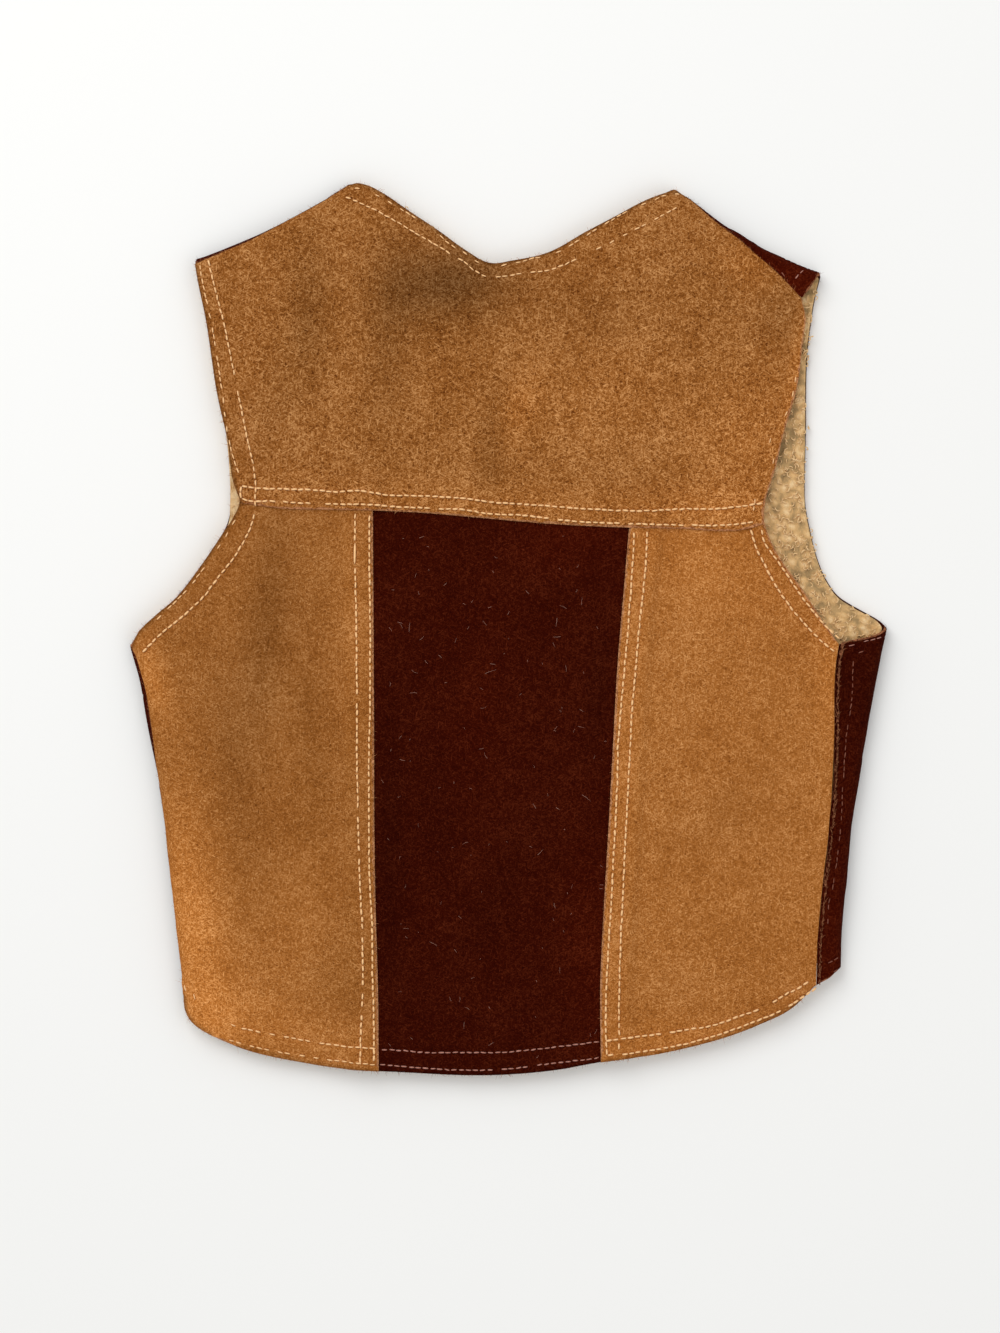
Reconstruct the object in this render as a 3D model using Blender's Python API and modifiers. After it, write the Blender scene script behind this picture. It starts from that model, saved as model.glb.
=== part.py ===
"""Child's western vest in suede with a sherpa lining, laid flat with its back up.

+X is to the right of someone looking down at the back, +Y runs towards the neck and +Z is up.
The fronts lie underneath, flat on z = 0, and roll over the sides and shoulders to the seams.
Outlines are in millimetres from the middle of the laid vest, as seen from above.
"""
import math

import bpy
import numpy as np

MM = 0.001
OBJECT_NAME = "western_vest"

# Middle of the finished vest's box, which is put at the origin
LAID_MIDDLE = (-0.48, -0.54, 0.0)

# Cloth and the laid stack, in millimetres
SUEDE = 1.2
STACK_HEIGHT = 12.0
FOLD_REACH = 6.0
EDGE_DROP = 2.2
EDGE_DROP_WIDTH = 26.0
LINING_CLEARANCE = 1.0
LINING_FOLD_SLACK = 1.5
SEAM_GAP = 0.8
LINING_INSET = 0.9

# Lapped seams: the upper piece climbs over the lower one's hidden edge
SIDE_LAP = 10.5
YOKE_LAP = 11.0
LAP_MARGIN = 1.5
LAP_RAMP = 5.5
LAP_STEP = SUEDE + 0.5

# Folds as seen from above: x by y at the sides, y by x at the shoulders
LEFT_SIDE = {
    "y": (-176, -152, -134, -115, -97, -79, -60, -42, -23, -9, 30),
    "x": (-150.4, -151.8, -154.1, -156.4, -158.2, -160.5, -163.8, -167.4, -170.9, -174.8, -183),
}
RIGHT_SIDE = {
    "y": (-176, -156, -143, -125, -106, -88, -69, -51, -33, -14, 1, 30),
    "x": (152.6, 153.4, 153.6, 155, 156.9, 158.7, 161.9, 164.7, 167.9, 171.6, 174.8, 181),
}
LEFT_SHOULDER = {
    "x": (-160, -144.4, -128, -112, -98, -84, -70),
    "y": (165, 170.2, 176.4, 183, 190.4, 198.4, 206.4),
}
RIGHT_SHOULDER = {
    "x": (74, 82.8, 92, 100, 108, 117, 126, 135, 144, 156),
    "y": (204, 198, 191.6, 186, 181.5, 176, 172, 168, 164.7, 160),
}

# Edges of the back as seen from above, each as (x, y)
NECKLINE = (
    (-74, 205.4), (-59.3, 201), (-45, 192), (-31.7, 183.1), (-20, 174.6), (-9.2, 168.8), (3.2, 170.2),
    (17.5, 173.4), (35.4, 183.1), (50, 190.8), (63.5, 197.6), (74, 201.2), (81.5, 200.2),
)
RIGHT_SHOULDER_SEAM = (
    (81.5, 199.2), (92, 190), (100.3, 183.5), (106.7, 178.6), (113.6, 172.5), (120.1, 167.2),
    (127.4, 160.4), (134.8, 152.3),
)
YOKE_LEFT_ARMHOLE = (
    (-123.3, 58), (-127, 68), (-129.7, 86.9), (-133.9, 105.3), (-140.3, 146.7), (-142.6, 158.2),
    (-144.2, 169.4),
)
YOKE_RIGHT_ARMHOLE = (
    (117.3, 48.6), (117.3, 56.6), (118.7, 61.6), (122.8, 74.1), (125.8, 86.9), (133.4, 114.5),
    (135.6, 133.9), (136.8, 142.6), (136, 150.6),
)
YOKE_LOWER_EDGE = (
    (-123.3, 57.8), (-103.5, 55.2), (-84.2, 54.7), (-43.2, 53.4), (-15.6, 51.1), (5.1, 49.2),
    (39.6, 46.9), (75, 46), (113.6, 46.9), (117.3, 48.3),
)
PANEL_LEFT_ARMHOLE = (
    (-174.4, -9), (-170.7, -1.8), (-162.4, 5.5), (-154.6, 13.3), (-142.1, 29), (-132.5, 43.2),
    (-127, 51.5), (-124.2, 58), (-126.8, 68.6),
)
PANEL_RIGHT_ARMHOLE = (
    (152, -7), (142.6, 6.9), (135.2, 18.4), (127.4, 29), (120.1, 41.9), (117.6, 50), (118.2, 59.4),
)
RIGHT_SIDE_SEAM = (
    (141.6, -164), (141.8, -152), (142.8, -134), (144.6, -115.5), (146.8, -97), (148.3, -78.7),
    (149.6, -51), (150.8, -14.3), (152, -7),
)
LEFT_HEM_CORNER = ((-150.6, -169), (-149.2, -176.6), (-144.4, -182.6), (-137.1, -187.2))
HEM = (
    (-125.6, -192.3), (-96.1, -199.6), (-77.7, -202.4), (-61.6, -203.6), (-47.8, -204.2), (-26.2, -205.4),
    (-4.1, -205.4), (23.5, -202.9), (42.8, -199.4), (73.1, -195), (86.9, -191.8), (104, -186.8),
    (115.5, -182.2), (129.7, -175.2), (139.8, -166.8),
)
CENTRE_EDGE_LEFT = {"y": (-206, -164, -118, -35, 52), "x": (-60, -60.3, -61.6, -62.1, -62.6)}
CENTRE_EDGE_RIGHT = {"y": (-200, -164, -118, -72, -35, 11, 46), "x": (42.3, 42, 44.2, 46.9, 48.8, 52, 56.1)}

# How far the left side seam lies round the fold, by y, along the cloth from where the fold begins
LEFT_SEAM_TURN = {
    "y": (-176, -110, -90, -72, -58, -45, -28, -9),
    "along": (10, 10, 9.6, 8.2, 6.4, 4.6, 3.6, 2.6),
}
LEFT_SHOULDER_TURN = 6.3

# Edges of the fronts as seen from above
FRONT_GAP = 1.0
FRONT_OPENING_BASE = 62.0
FRONT_RIGHT_NECK = ((1, 62), (16, 88), (38, 124), (58, 158), (72, 184))
FRONT_LEFT_NECK = ((-1, 62), (-13, 88), (-32, 124), (-50, 158), (-64, 186))
FRONT_HEM = ((0, -196), (40, -188), (80, -177), (112, -165), (134, -157))
FRONT_RIGHT_ARMHOLE = (
    (165.6, 7.4), (158.2, 11.5), (152.7, 15.2), (146.7, 23.5), (142.6, 33.6), (139.4, 46.5), (137.5, 56.6),
    (137.1, 71.8), (137.5, 86.9), (138.9, 133.9), (141.2, 150),
)
FRONT_LEFT_ARMHOLE = (
    (-162, 4), (-153.4, 12.6), (-141, 28), (-132, 42), (-129, 52), (-128.4, 62), (-129, 80),
    (-133, 105), (-139, 140), (-141.4, 154),
)

# Least distance between a piece's corner on the hem and the next point of the hem
HEM_SPACING = 4

# Main creases of the back: soft troughs (below zero) and ridges, sized in millimetres and degrees
CREASES = (
    {"x": -4, "y": 112, "long": 62, "wide": 19, "turn": 86, "rise": -0.9},
    {"x": 0, "y": 168, "long": 40, "wide": 46, "turn": 0, "rise": -1.4},
    {"x": -52, "y": 100, "long": 46, "wide": 24, "turn": 100, "rise": 0.8},
    {"x": 58, "y": 96, "long": 44, "wide": 25, "turn": 70, "rise": 0.8},
    {"x": -92, "y": 128, "long": 44, "wide": 20, "turn": 95, "rise": -0.7},
    {"x": 104, "y": 112, "long": 40, "wide": 20, "turn": 60, "rise": -0.6},
    {"x": -122, "y": -70, "long": 70, "wide": 19, "turn": 104, "rise": -0.9},
    {"x": -104, "y": -30, "long": 54, "wide": 20, "turn": 76, "rise": -0.6},
    {"x": -100, "y": -120, "long": 60, "wide": 26, "turn": 90, "rise": 0.8},
    {"x": 96, "y": -62, "long": 60, "wide": 30, "turn": 10, "rise": 0.6},
    {"x": 92, "y": -118, "long": 56, "wide": 20, "turn": 168, "rise": -0.5},
    {"x": -10, "y": -110, "long": 90, "wide": 30, "turn": 84, "rise": 0.6},
)


def by_table(table, along, across):
    """A smooth function through a table's rows: a cubic between rows with the slope of their neighbours."""
    places = np.array(table[along], float)
    values = np.array(table[across], float)
    slopes = np.gradient(values, places)

    def at(place):
        place = np.clip(place, places[0], places[-1])
        row = np.clip(np.searchsorted(places, place, side="right") - 1, 0, len(places) - 2)
        gap = places[row + 1] - places[row]
        part = (place - places[row]) / gap
        rise = values[row + 1] - values[row]
        first = part * part * (3 - 2 * part)
        pull = part * (1 - part) * ((1 - part) * (slopes[row] * gap) - part * (slopes[row + 1] * gap))
        return values[row] + first * rise + pull

    return at


def curve(points):
    """A smooth curve through points, as a function of the share of its length."""
    points = np.array(points, float)
    steps = np.linalg.norm(np.diff(points, axis=0), axis=1)
    shares = np.concatenate([[0], np.cumsum(steps)]) / steps.sum()
    along_x = by_table({"share": shares, "x": points[:, 0]}, "share", "x")
    along_y = by_table({"share": shares, "y": points[:, 1]}, "share", "y")
    return lambda share: np.stack([along_x(share), along_y(share)], axis=-1)


def share_lines(length, near_start, near_end, between):
    """Shares of a length for grid lines: at distances from its start and end, with even steps between."""
    first = np.array(near_start, float) / length
    last = 1 - np.array(near_end, float)[::-1] / length
    middle = np.linspace(first[-1], last[0], between + 1)[1:-1]
    return np.concatenate([first, middle, last])


class Edge:
    """One side of a piece: smooth stretches end to end, as a function of the share of its length."""

    def __init__(self, *stretches):
        self.curves = [curve(points) for points in stretches]
        steps = [np.diff(np.array(points, float), axis=0) for points in stretches]
        self.lengths = [np.linalg.norm(step, axis=1).sum() for step in steps]
        self.ends = np.concatenate([[0], np.cumsum(self.lengths)]) / sum(self.lengths)

    def __call__(self, share):
        share = np.asarray(share, float)
        places = self.curves[0](share / self.ends[1])
        for number in range(1, len(self.curves)):
            start, stop = self.ends[number], self.ends[number + 1]
            here = self.curves[number]((share - start) / (stop - start))
            places = np.where((share > start)[..., None], here, places)
        return places

    def lines(self, *rules):
        """Shares of the grid lines. Each stretch has distances from its start and end, and steps between."""
        places = [np.array([0.0])]
        for number, rule in enumerate(rules):
            part = share_lines(self.lengths[number], *rule)[1:]
            start, stop = self.ends[number], self.ends[number + 1]
            places.append(start + part * (stop - start))
        return np.concatenate(places)


def distance_to(points, x, y):
    """Shortest distance from each place to the line through the points."""
    points = np.array(points, float)
    shortest = np.full(np.shape(x), 1e6)
    for start, end in zip(points[:-1], points[1:]):
        run = end - start
        part = np.clip(((x - start[0]) * run[0] + (y - start[1]) * run[1]) / (run @ run), 0, 1)
        away = np.hypot(x - start[0] - part * run[0], y - start[1] - part * run[1])
        shortest = np.minimum(shortest, away)
    return shortest


FREE_EDGES = (
    NECKLINE,
    YOKE_LEFT_ARMHOLE,
    YOKE_RIGHT_ARMHOLE,
    PANEL_LEFT_ARMHOLE[1:],
    PANEL_RIGHT_ARMHOLE[1:],
    HEM,
)


def stack_height(x, y):
    """Height of the back above the ground: level in the middle, lower at sewn edges, with the creases."""
    away = np.min([distance_to(edge, x, y) for edge in FREE_EDGES], axis=0)
    height = STACK_HEIGHT - EDGE_DROP * np.exp(-((away / EDGE_DROP_WIDTH) ** 2))
    for crease in CREASES:
        turn = math.radians(crease["turn"])
        along = (x - crease["x"]) * math.cos(turn) + (y - crease["y"]) * math.sin(turn)
        aside = (y - crease["y"]) * math.cos(turn) - (x - crease["x"]) * math.sin(turn)
        shape = np.exp(-((along / crease["long"]) ** 2) - (aside / crease["wide"]) ** 2)
        height = height + crease["rise"] * shape * (1 - np.exp(-((away / EDGE_DROP_WIDTH) ** 2)))
    return height


class Fold:
    """A rolled edge on one half of the vest: a half round along x at a side, or along y at a shoulder."""

    def __init__(self, table, axis, half):
        self.axis = axis
        self.half = half
        self.outward = half if axis == 0 else 1
        names = ("y", "x") if axis == 0 else ("x", "y")
        self.outline = by_table(table, *names)

    def start(self, points):
        """Where the roll begins, level with each point."""
        return self.outline(points[..., 1 - self.axis]) - self.outward * FOLD_REACH

    def beyond(self, points):
        """How far each point lies past the start of the roll; far short of it on the other half."""
        past = (points[..., self.axis] - self.start(points)) * self.outward
        return np.where(points[..., 0] * self.half > 0, past, np.minimum(past, -10 * FOLD_REACH))

    def moved(self, points, beyond):
        """The points at new distances past the start of the roll."""
        placed = np.array(points, float)
        placed[..., self.axis] = self.start(points) + self.outward * beyond
        return placed


LEFT_SIDE_FOLD = Fold(LEFT_SIDE, 0, -1)
RIGHT_SIDE_FOLD = Fold(RIGHT_SIDE, 0, 1)
LEFT_SHOULDER_FOLD = Fold(LEFT_SHOULDER, 1, -1)
RIGHT_SHOULDER_FOLD = Fold(RIGHT_SHOULDER, 1, 1)
HALF_TURN = math.pi * FOLD_REACH


def round_length(beyond):
    """Length of cloth from the start of a roll to a place seen at that distance past it."""
    on_roll = FOLD_REACH * np.arcsin(np.clip(beyond / FOLD_REACH, -1, 1))
    return np.where(beyond > 0, on_roll, beyond)


def back_cloth(points, fold, clear=SEAM_GAP / 2):
    """Places of the back seen from above, as flat cloth that ends short of the seam by the clearance."""
    points = np.array(points, float)
    return fold.moved(points, round_length(fold.beyond(points)) - clear)


def front_cloth_over(points, fold, clear=SEAM_GAP / 2):
    """Places where a front shows on top, as flat cloth measured round the roll from underneath."""
    points = np.array(points, float)
    return fold.moved(points, HALF_TURN - round_length(fold.beyond(points)) - clear)


def front_cloth_under(points, fold):
    """Places of a front that lie underneath, as flat cloth."""
    points = np.array(points, float)
    return fold.moved(points, round_length(fold.beyond(points)))


def lay_back(points, folds, depth, lap=None):
    """Lay flat cloth as a layer of the back, at a depth under its top face."""
    x, y = points[..., 0], points[..., 1]
    placed = np.stack([x, y, stack_height(x, y) - depth], axis=-1)
    if lap is not None:
        placed[..., 2] += LAP_STEP * lap(x, y)
    for fold in folds:
        beyond = fold.beyond(points)
        foot = fold.moved(points, np.zeros_like(beyond))
        half = stack_height(foot[..., 0], foot[..., 1]) / 2
        inside = 1 - depth / half
        turn = beyond / FOLD_REACH
        rolled = np.concatenate([foot, (half + half * inside * np.cos(turn))[..., None]], axis=-1)
        rolled[..., fold.axis] += fold.outward * FOLD_REACH * inside * np.sin(turn)
        placed = np.where((beyond > 0)[..., None], rolled, placed)
    return placed


def lay_front(points, folds, depth):
    """Lay flat cloth as a layer of a front: level, round the roll and level again on top."""
    level = np.full(points.shape[:-1], depth)
    placed = np.concatenate([points, level[..., None]], axis=-1)
    for fold in folds:
        beyond = fold.beyond(points)
        foot = fold.moved(points, np.zeros_like(beyond))
        half = stack_height(foot[..., 0], foot[..., 1]) / 2
        inside = 1 - depth / half
        turn = np.clip(beyond / FOLD_REACH, 0, math.pi)
        rolled = np.concatenate([foot, (half - half * inside * np.cos(turn))[..., None]], axis=-1)
        rolled[..., fold.axis] += fold.outward * FOLD_REACH * inside * np.sin(turn)
        past = np.maximum(beyond - HALF_TURN, 0)
        rolled[..., fold.axis] -= fold.outward * past
        on_top = stack_height(rolled[..., 0], rolled[..., 1]) - depth
        rolled[..., 2] = np.where(past > 0, on_top, rolled[..., 2])
        placed = np.where((beyond > 0)[..., None], rolled, placed)
    return placed


def cloth_grid(sides, columns, rows, hold=0.0, inset=0.0):
    """Grid over a four-sided piece: its sides blended across and up, less the blend of its corners.

    sides are bottom, top, left and right. rows are the line shares at the left and right. columns are
    those at the bottom and top, or distances from the left and right with the number of steps between.
    Below the share hold, the columns stay as they are at the bottom.
    """
    bottom, top, left, right = sides
    if len(columns) == 3:
        widths = np.linalg.norm(right(rows[1]) - left(rows[0]), axis=-1)
        across = np.stack([share_lines(width, *columns) for width in widths])
    else:
        height = (rows[0] + rows[1])[:, None] / 2
        lift = np.clip((height - hold) / (1 - hold), 0, 1)
        across = (1 - lift) * columns[0][None, :] + lift * columns[1][None, :]
    up = (1 - across) * rows[0][:, None] + across * rows[1][:, None]
    across = inset + across * (1 - 2 * inset)
    up = inset + up * (1 - 2 * inset)
    share_x, share_y = across[..., None], up[..., None]
    blend = (1 - share_y) * bottom(across) + share_y * top(across)
    blend += (1 - share_x) * left(up) + share_x * right(up)
    low = (1 - share_x) * bottom(0.0) + share_x * bottom(1.0)
    high = (1 - share_x) * top(0.0) + share_x * top(1.0)
    return blend - (1 - share_y) * low - share_y * high


def smooth_step(value):
    value = np.clip(value, 0, 1)
    return value * value * (3 - 2 * value)


def lap_height(away, lap):
    """1 over the hidden edge of the piece below, falling to 0 past it."""
    return 1 - smooth_step((away - lap - LAP_MARGIN) / LAP_RAMP)


def height_along(points):
    """y by x along an edge that runs from left to right."""
    x, y = zip(*points)
    return by_table({"x": x, "y": y}, "x", "y")


centre_edge_left = by_table(CENTRE_EDGE_LEFT, "y", "x")
centre_edge_right = by_table(CENTRE_EDGE_RIGHT, "y", "x")
yoke_edge = height_along(YOKE_LOWER_EDGE)
hem_edge = height_along(HEM)


def left_panel_lap(x, y):
    return lap_height(centre_edge_left(y) - x, SIDE_LAP)


def right_panel_lap(x, y):
    return lap_height(x - centre_edge_right(y), SIDE_LAP)


def yoke_lap(x, y):
    """The yoke climbs over the panels, and twice where a side panel laps the centre one."""
    over_panels = lap_height(y - yoke_edge(x), YOKE_LAP)
    doubled = np.zeros_like(x)
    for middle in (CENTRE_EDGE_LEFT["x"][-1] - SIDE_LAP / 2, CENTRE_EDGE_RIGHT["x"][-1] + SIDE_LAP / 2):
        doubled = doubled + lap_height(np.abs(x - middle), SIDE_LAP / 2)
    return over_panels * (1 + doubled)


def principled(name, colour, roughness):
    """Plain material; the colour is linear red, green and blue."""
    material = bpy.data.materials.new(name)
    material.use_nodes = True
    shader = material.node_tree.nodes["Principled BSDF"]
    shader.inputs["Base Color"].default_value = (*colour, 1.0)
    shader.inputs["Roughness"].default_value = roughness
    material.diffuse_color = (*colour, 1.0)
    return material


def add_cloth(name, placed, material, collection, thickness, weights=None, facing_up=True):
    """One piece of cloth: its outer face as an open grid, with a wall added inwards."""
    rows, columns = placed.shape[:2]
    corner = np.arange(rows * columns).reshape(rows, columns)
    faces = np.stack([corner[:-1, :-1], corner[:-1, 1:], corner[1:, 1:], corner[1:, :-1]], axis=-1)
    faces = faces.reshape(-1, 4)
    if not facing_up:
        faces = faces[:, ::-1]
    mesh = bpy.data.meshes.new(name)
    mesh.from_pydata(((placed.reshape(-1, 3) - LAID_MIDDLE) * MM).tolist(), [], faces.tolist())
    mesh.update()
    mesh.materials.append(material)
    piece = bpy.data.objects.new(name, mesh)
    collection.objects.link(piece)
    wall = piece.modifiers.new("wall", "SOLIDIFY")
    wall.thickness = thickness * MM
    wall.offset = -1.0
    wall.use_even_offset = weights is None
    if weights is not None:
        group = piece.vertex_groups.new(name="wall")
        for index, weight in enumerate(weights.ravel()):
            group.add([index], float(weight), "REPLACE")
        wall.vertex_group = group.name
    flat = piece.modifiers.new("triangles", "TRIANGULATE")
    flat.quad_method = "SHORTEST_DIAGONAL"
    mesh.shade_smooth()
    mesh.set_sharp_from_angle(angle=math.radians(40))
    return piece


def lining_thickness(points, placed, folds):
    """The lining fills its half of the stack, and leaves a narrow hollow along the middle of each roll."""
    thickness = stack_height(placed[..., 0], placed[..., 1]) / 2 - SUEDE - LINING_CLEARANCE * 1.5
    for fold in folds:
        thickness = thickness - LINING_FOLD_SLACK * smooth_step(fold.beyond(points) / FOLD_REACH + 1)
    return thickness


def add_lining(name, placed, thickness, material, collection, facing_up):
    """Lining whose wall follows the given thickness."""
    thickest = float(thickness.max())
    return add_cloth(name, placed, material, collection, thickest, thickness / thickest, facing_up)


def shoulder_seam_left():
    """The left shoulder seam of the back, from the tip to the neck; it lies on the roll."""
    x = np.linspace(YOKE_LEFT_ARMHOLE[-1][0], NECKLINE[0][0], 7)
    points = np.stack([x, np.zeros_like(x)], axis=-1)
    return LEFT_SHOULDER_FOLD.moved(points, LEFT_SHOULDER_TURN - SEAM_GAP / 2)


def shoulder_seam_right():
    """The right shoulder seam of the back, from the neck to the tip."""
    return back_cloth(RIGHT_SHOULDER_SEAM, RIGHT_SHOULDER_FOLD)


def neck_edge():
    """The back's neckline between the two shoulder seams."""
    inner = np.array(NECKLINE[1:-1], float)
    on_left = back_cloth(inner, LEFT_SHOULDER_FOLD, 0)
    on_right = back_cloth(inner, RIGHT_SHOULDER_FOLD, 0)
    inner = np.where(inner[:, :1] < 0, on_left, on_right)
    return np.concatenate([shoulder_seam_left()[-1:], inner, shoulder_seam_right()[:1]])


def side_seam_left(clear=SEAM_GAP / 2):
    """The left side seam of the back, from the hem to the underarm; it lies on the roll."""
    turn = by_table(LEFT_SEAM_TURN, "y", "along")
    y = np.linspace(LEFT_HEM_CORNER[0][1], PANEL_LEFT_ARMHOLE[0][1], 9)
    points = np.stack([np.zeros_like(y), y], axis=-1)
    return LEFT_SIDE_FOLD.moved(points, turn(y) - clear)


def side_seam_right():
    """The right side seam of the back, from the hem to the underarm; it lies flat on top."""
    return back_cloth(RIGHT_SIDE_SEAM, RIGHT_SIDE_FOLD)


def hem_between(low_x, high_x):
    """The hem's points between two places, with its own height at both."""
    inner = [point for point in HEM if low_x + HEM_SPACING < point[0] < high_x - HEM_SPACING]
    return [(low_x, float(hem_edge(low_x))), *inner, (high_x, float(hem_edge(high_x)))]


def left_hem_start():
    """The hem's rounded corner at the left side, from the seam."""
    corner = back_cloth(LEFT_HEM_CORNER[1:], LEFT_SIDE_FOLD, 0)
    return [side_seam_left()[0], *corner]


def shares_at(edge, x):
    """Shares of an edge's length at given places along x."""
    places = np.linspace(0, 1, 400)
    return np.interp(x, edge(places)[:, 0], places)


# Grid lines of the back: distances from the left side seam and from a lapping edge
NEAR_LOW_SEAM = (0, 1, 4, 7, 10.5)
NEAR_LAP = tuple(SIDE_LAP + LAP_MARGIN + step for step in (-SIDE_LAP - LAP_MARGIN, 0, LAP_RAMP / 2, LAP_RAMP))


def back_yoke(material, collection):
    """Tan yoke from the neck to the panels, which it laps; its ends roll down at the shoulders."""
    bottom = Edge(YOKE_LOWER_EDGE)
    top = Edge(shoulder_seam_left(), neck_edge(), shoulder_seam_right())
    left = Edge([*YOKE_LEFT_ARMHOLE[:-1], shoulder_seam_left()[0]])
    right = Edge([*YOKE_RIGHT_ARMHOLE[:-1], shoulder_seam_right()[-1]])
    steps = (LAP_MARGIN + LAP_RAMP, LAP_MARGIN + LAP_RAMP / 2, LAP_MARGIN)
    left_lap = CENTRE_EDGE_LEFT["x"][-1] - SIDE_LAP
    right_lap = CENTRE_EDGE_RIGHT["x"][-1]
    places = [YOKE_LOWER_EDGE[0][0], -109, -94.5]
    places += [left_lap - step for step in steps] + [left_lap + SIDE_LAP + step for step in steps[::-1]]
    places += [-42, -28, -14, 0, 14, 28, 39]
    places += [right_lap - step for step in steps] + [right_lap + SIDE_LAP + step for step in steps[::-1]]
    places += [88, 103, YOKE_LOWER_EDGE[-1][0]]
    columns = (shares_at(bottom, places), top.lines(((0,), (0,), 5), ((0,), (0,), 14), ((0,), (0,), 5)))
    columns[0][0], columns[0][-1] = 0.0, 1.0
    rule = ((0, 5, 9.4, 12, 14.5, 18), (0, 1, 4, 7, 10), 6)
    grid = cloth_grid((bottom, top, left, right), columns, (left.lines(rule), right.lines(rule)), hold=0.15)
    placed = lay_back(grid, (LEFT_SHOULDER_FOLD, RIGHT_SHOULDER_FOLD), 0.0, yoke_lap)
    return add_cloth("back_yoke", placed, material, collection, SUEDE)


def back_panel_left(material, collection):
    """Tan panel that laps the centre panel and rolls down at the left side."""
    lap_x = CENTRE_EDGE_LEFT["x"][0]
    top_y = CENTRE_EDGE_LEFT["y"][-1] + YOKE_LAP
    bottom = Edge([*left_hem_start(), *hem_between(HEM[0][0], lap_x)])
    left = Edge(side_seam_left(), [side_seam_left()[-1], *PANEL_LEFT_ARMHOLE[1:]])
    y = np.linspace(bottom(1.0)[1], top_y, 8)
    right = Edge(np.stack([centre_edge_left(y), y], axis=-1))
    top = Edge([PANEL_LEFT_ARMHOLE[-1], (-95, 66), tuple(right(1.0))])
    rule = (NEAR_LOW_SEAM, NEAR_LAP, 4)
    rows = (left.lines(((0,), (0, 15), 8), ((0,), (0,), 7)), right.lines(((0,), (0,), 16)))
    grid = cloth_grid((bottom, top, left, right), rule, rows)
    placed = lay_back(grid, (LEFT_SIDE_FOLD,), 0.0, left_panel_lap)
    return add_cloth("back_panel_left", placed, material, collection, SUEDE)


def back_panel_centre(material, collection):
    """Dark centre panel, whose sides and top lie hidden under the laps."""
    low_left = CENTRE_EDGE_LEFT["x"][0] - SIDE_LAP
    low_right = CENTRE_EDGE_RIGHT["x"][0] + SIDE_LAP
    bottom = Edge(hem_between(low_left, low_right))
    y = np.linspace(0, 1, 8)
    left_y = bottom(0.0)[1] + (CENTRE_EDGE_LEFT["y"][-1] + YOKE_LAP - bottom(0.0)[1]) * y
    right_y = bottom(1.0)[1] + (CENTRE_EDGE_RIGHT["y"][-1] + YOKE_LAP - bottom(1.0)[1]) * y
    left = Edge(np.stack([centre_edge_left(left_y) - SIDE_LAP, left_y], axis=-1))
    right = Edge(np.stack([centre_edge_right(right_y) + SIDE_LAP, right_y], axis=-1))
    top = Edge([tuple(left(1.0)), (0, 60.4), tuple(right(1.0))])
    columns = bottom.lines(((0, SIDE_LAP), (0, SIDE_LAP), 6))
    rows = left.lines(((0,), (0,), 15))
    grid = cloth_grid((bottom, top, left, right), (columns, columns), (rows, rows))
    return add_cloth("back_panel_centre", lay_back(grid, (), 0.0), material, collection, SUEDE)


def back_panel_right(material, collection):
    """Tan panel that laps the centre panel; its side seam lies flat on top."""
    lap_x = CENTRE_EDGE_RIGHT["x"][0]
    top_y = CENTRE_EDGE_RIGHT["y"][-1] + YOKE_LAP
    seam = side_seam_right()
    bottom = Edge([*hem_between(lap_x, HEM[-1][0])[:-1], seam[0]])
    right = Edge(seam, [seam[-1], *PANEL_RIGHT_ARMHOLE[1:]])
    y = np.linspace(bottom(0.0)[1], top_y, 8)
    left = Edge(np.stack([centre_edge_right(y), y], axis=-1))
    top = Edge([tuple(left(1.0)), (88, 57), PANEL_RIGHT_ARMHOLE[-1]])
    rule = (NEAR_LAP, (0,), 5)
    rows = (left.lines(((0,), (0,), 16)), right.lines(((0,), (0, 15), 8), ((0,), (0,), 7)))
    grid = cloth_grid((bottom, top, left, right), rule, rows)
    placed = lay_back(grid, (RIGHT_SIDE_FOLD,), 0.0, right_panel_lap)
    return add_cloth("back_panel_right", placed, material, collection, SUEDE)


def lining_back(material, collection):
    """Sherpa lining under the whole back."""
    seam_left, seam_right = side_seam_left(), side_seam_right()
    bottom = Edge([*left_hem_start(), *HEM[:-1], seam_right[0]])
    top = Edge(shoulder_seam_left(), neck_edge(), shoulder_seam_right())
    armhole_left = [*PANEL_LEFT_ARMHOLE[1:-1], *YOKE_LEFT_ARMHOLE[1:-1], shoulder_seam_left()[0]]
    armhole_right = [*PANEL_RIGHT_ARMHOLE[1:-1], *YOKE_RIGHT_ARMHOLE[2:-1], shoulder_seam_right()[-1]]
    left = Edge(seam_left, [seam_left[-1], *armhole_left])
    right = Edge(seam_right, [seam_right[-1], *armhole_right])
    even = ((0,), (0,))
    columns = (bottom.lines((NEAR_LOW_SEAM, (0,), 15)), top.lines((*even, 5), (*even, 9), (*even, 5)))
    rule = ((*even, 8), ((0,), (0, 3, 6, 9), 10))
    rows = (left.lines(*rule), right.lines(*rule))
    grid = cloth_grid((bottom, top, left, right), columns, rows, hold=0.45, inset=LINING_INSET / 250)
    folds = (LEFT_SIDE_FOLD, LEFT_SHOULDER_FOLD, RIGHT_SHOULDER_FOLD)
    placed = lay_back(grid, folds, SUEDE + LINING_CLEARANCE)
    return add_lining("lining_back", placed, lining_thickness(grid, placed, folds), material, collection, True)


# Grid lines of the fronts: distances from the seams where the cloth rolls
NEAR_SIDE_SEAM = (0, 1, 5, 9, 13, 17, 21, 25, 29, 35)
NEAR_SHOULDER_SEAM = (0, 1, 5, 9, 13, 17, 21, 25, 29)
NEAR_UNDERARM = (0, 1, 3, 5, 7, 9, 11, 13, 15)
NEAR_TIP = (0, 5, 10, 15, 20, 25, 30, 36)


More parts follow.
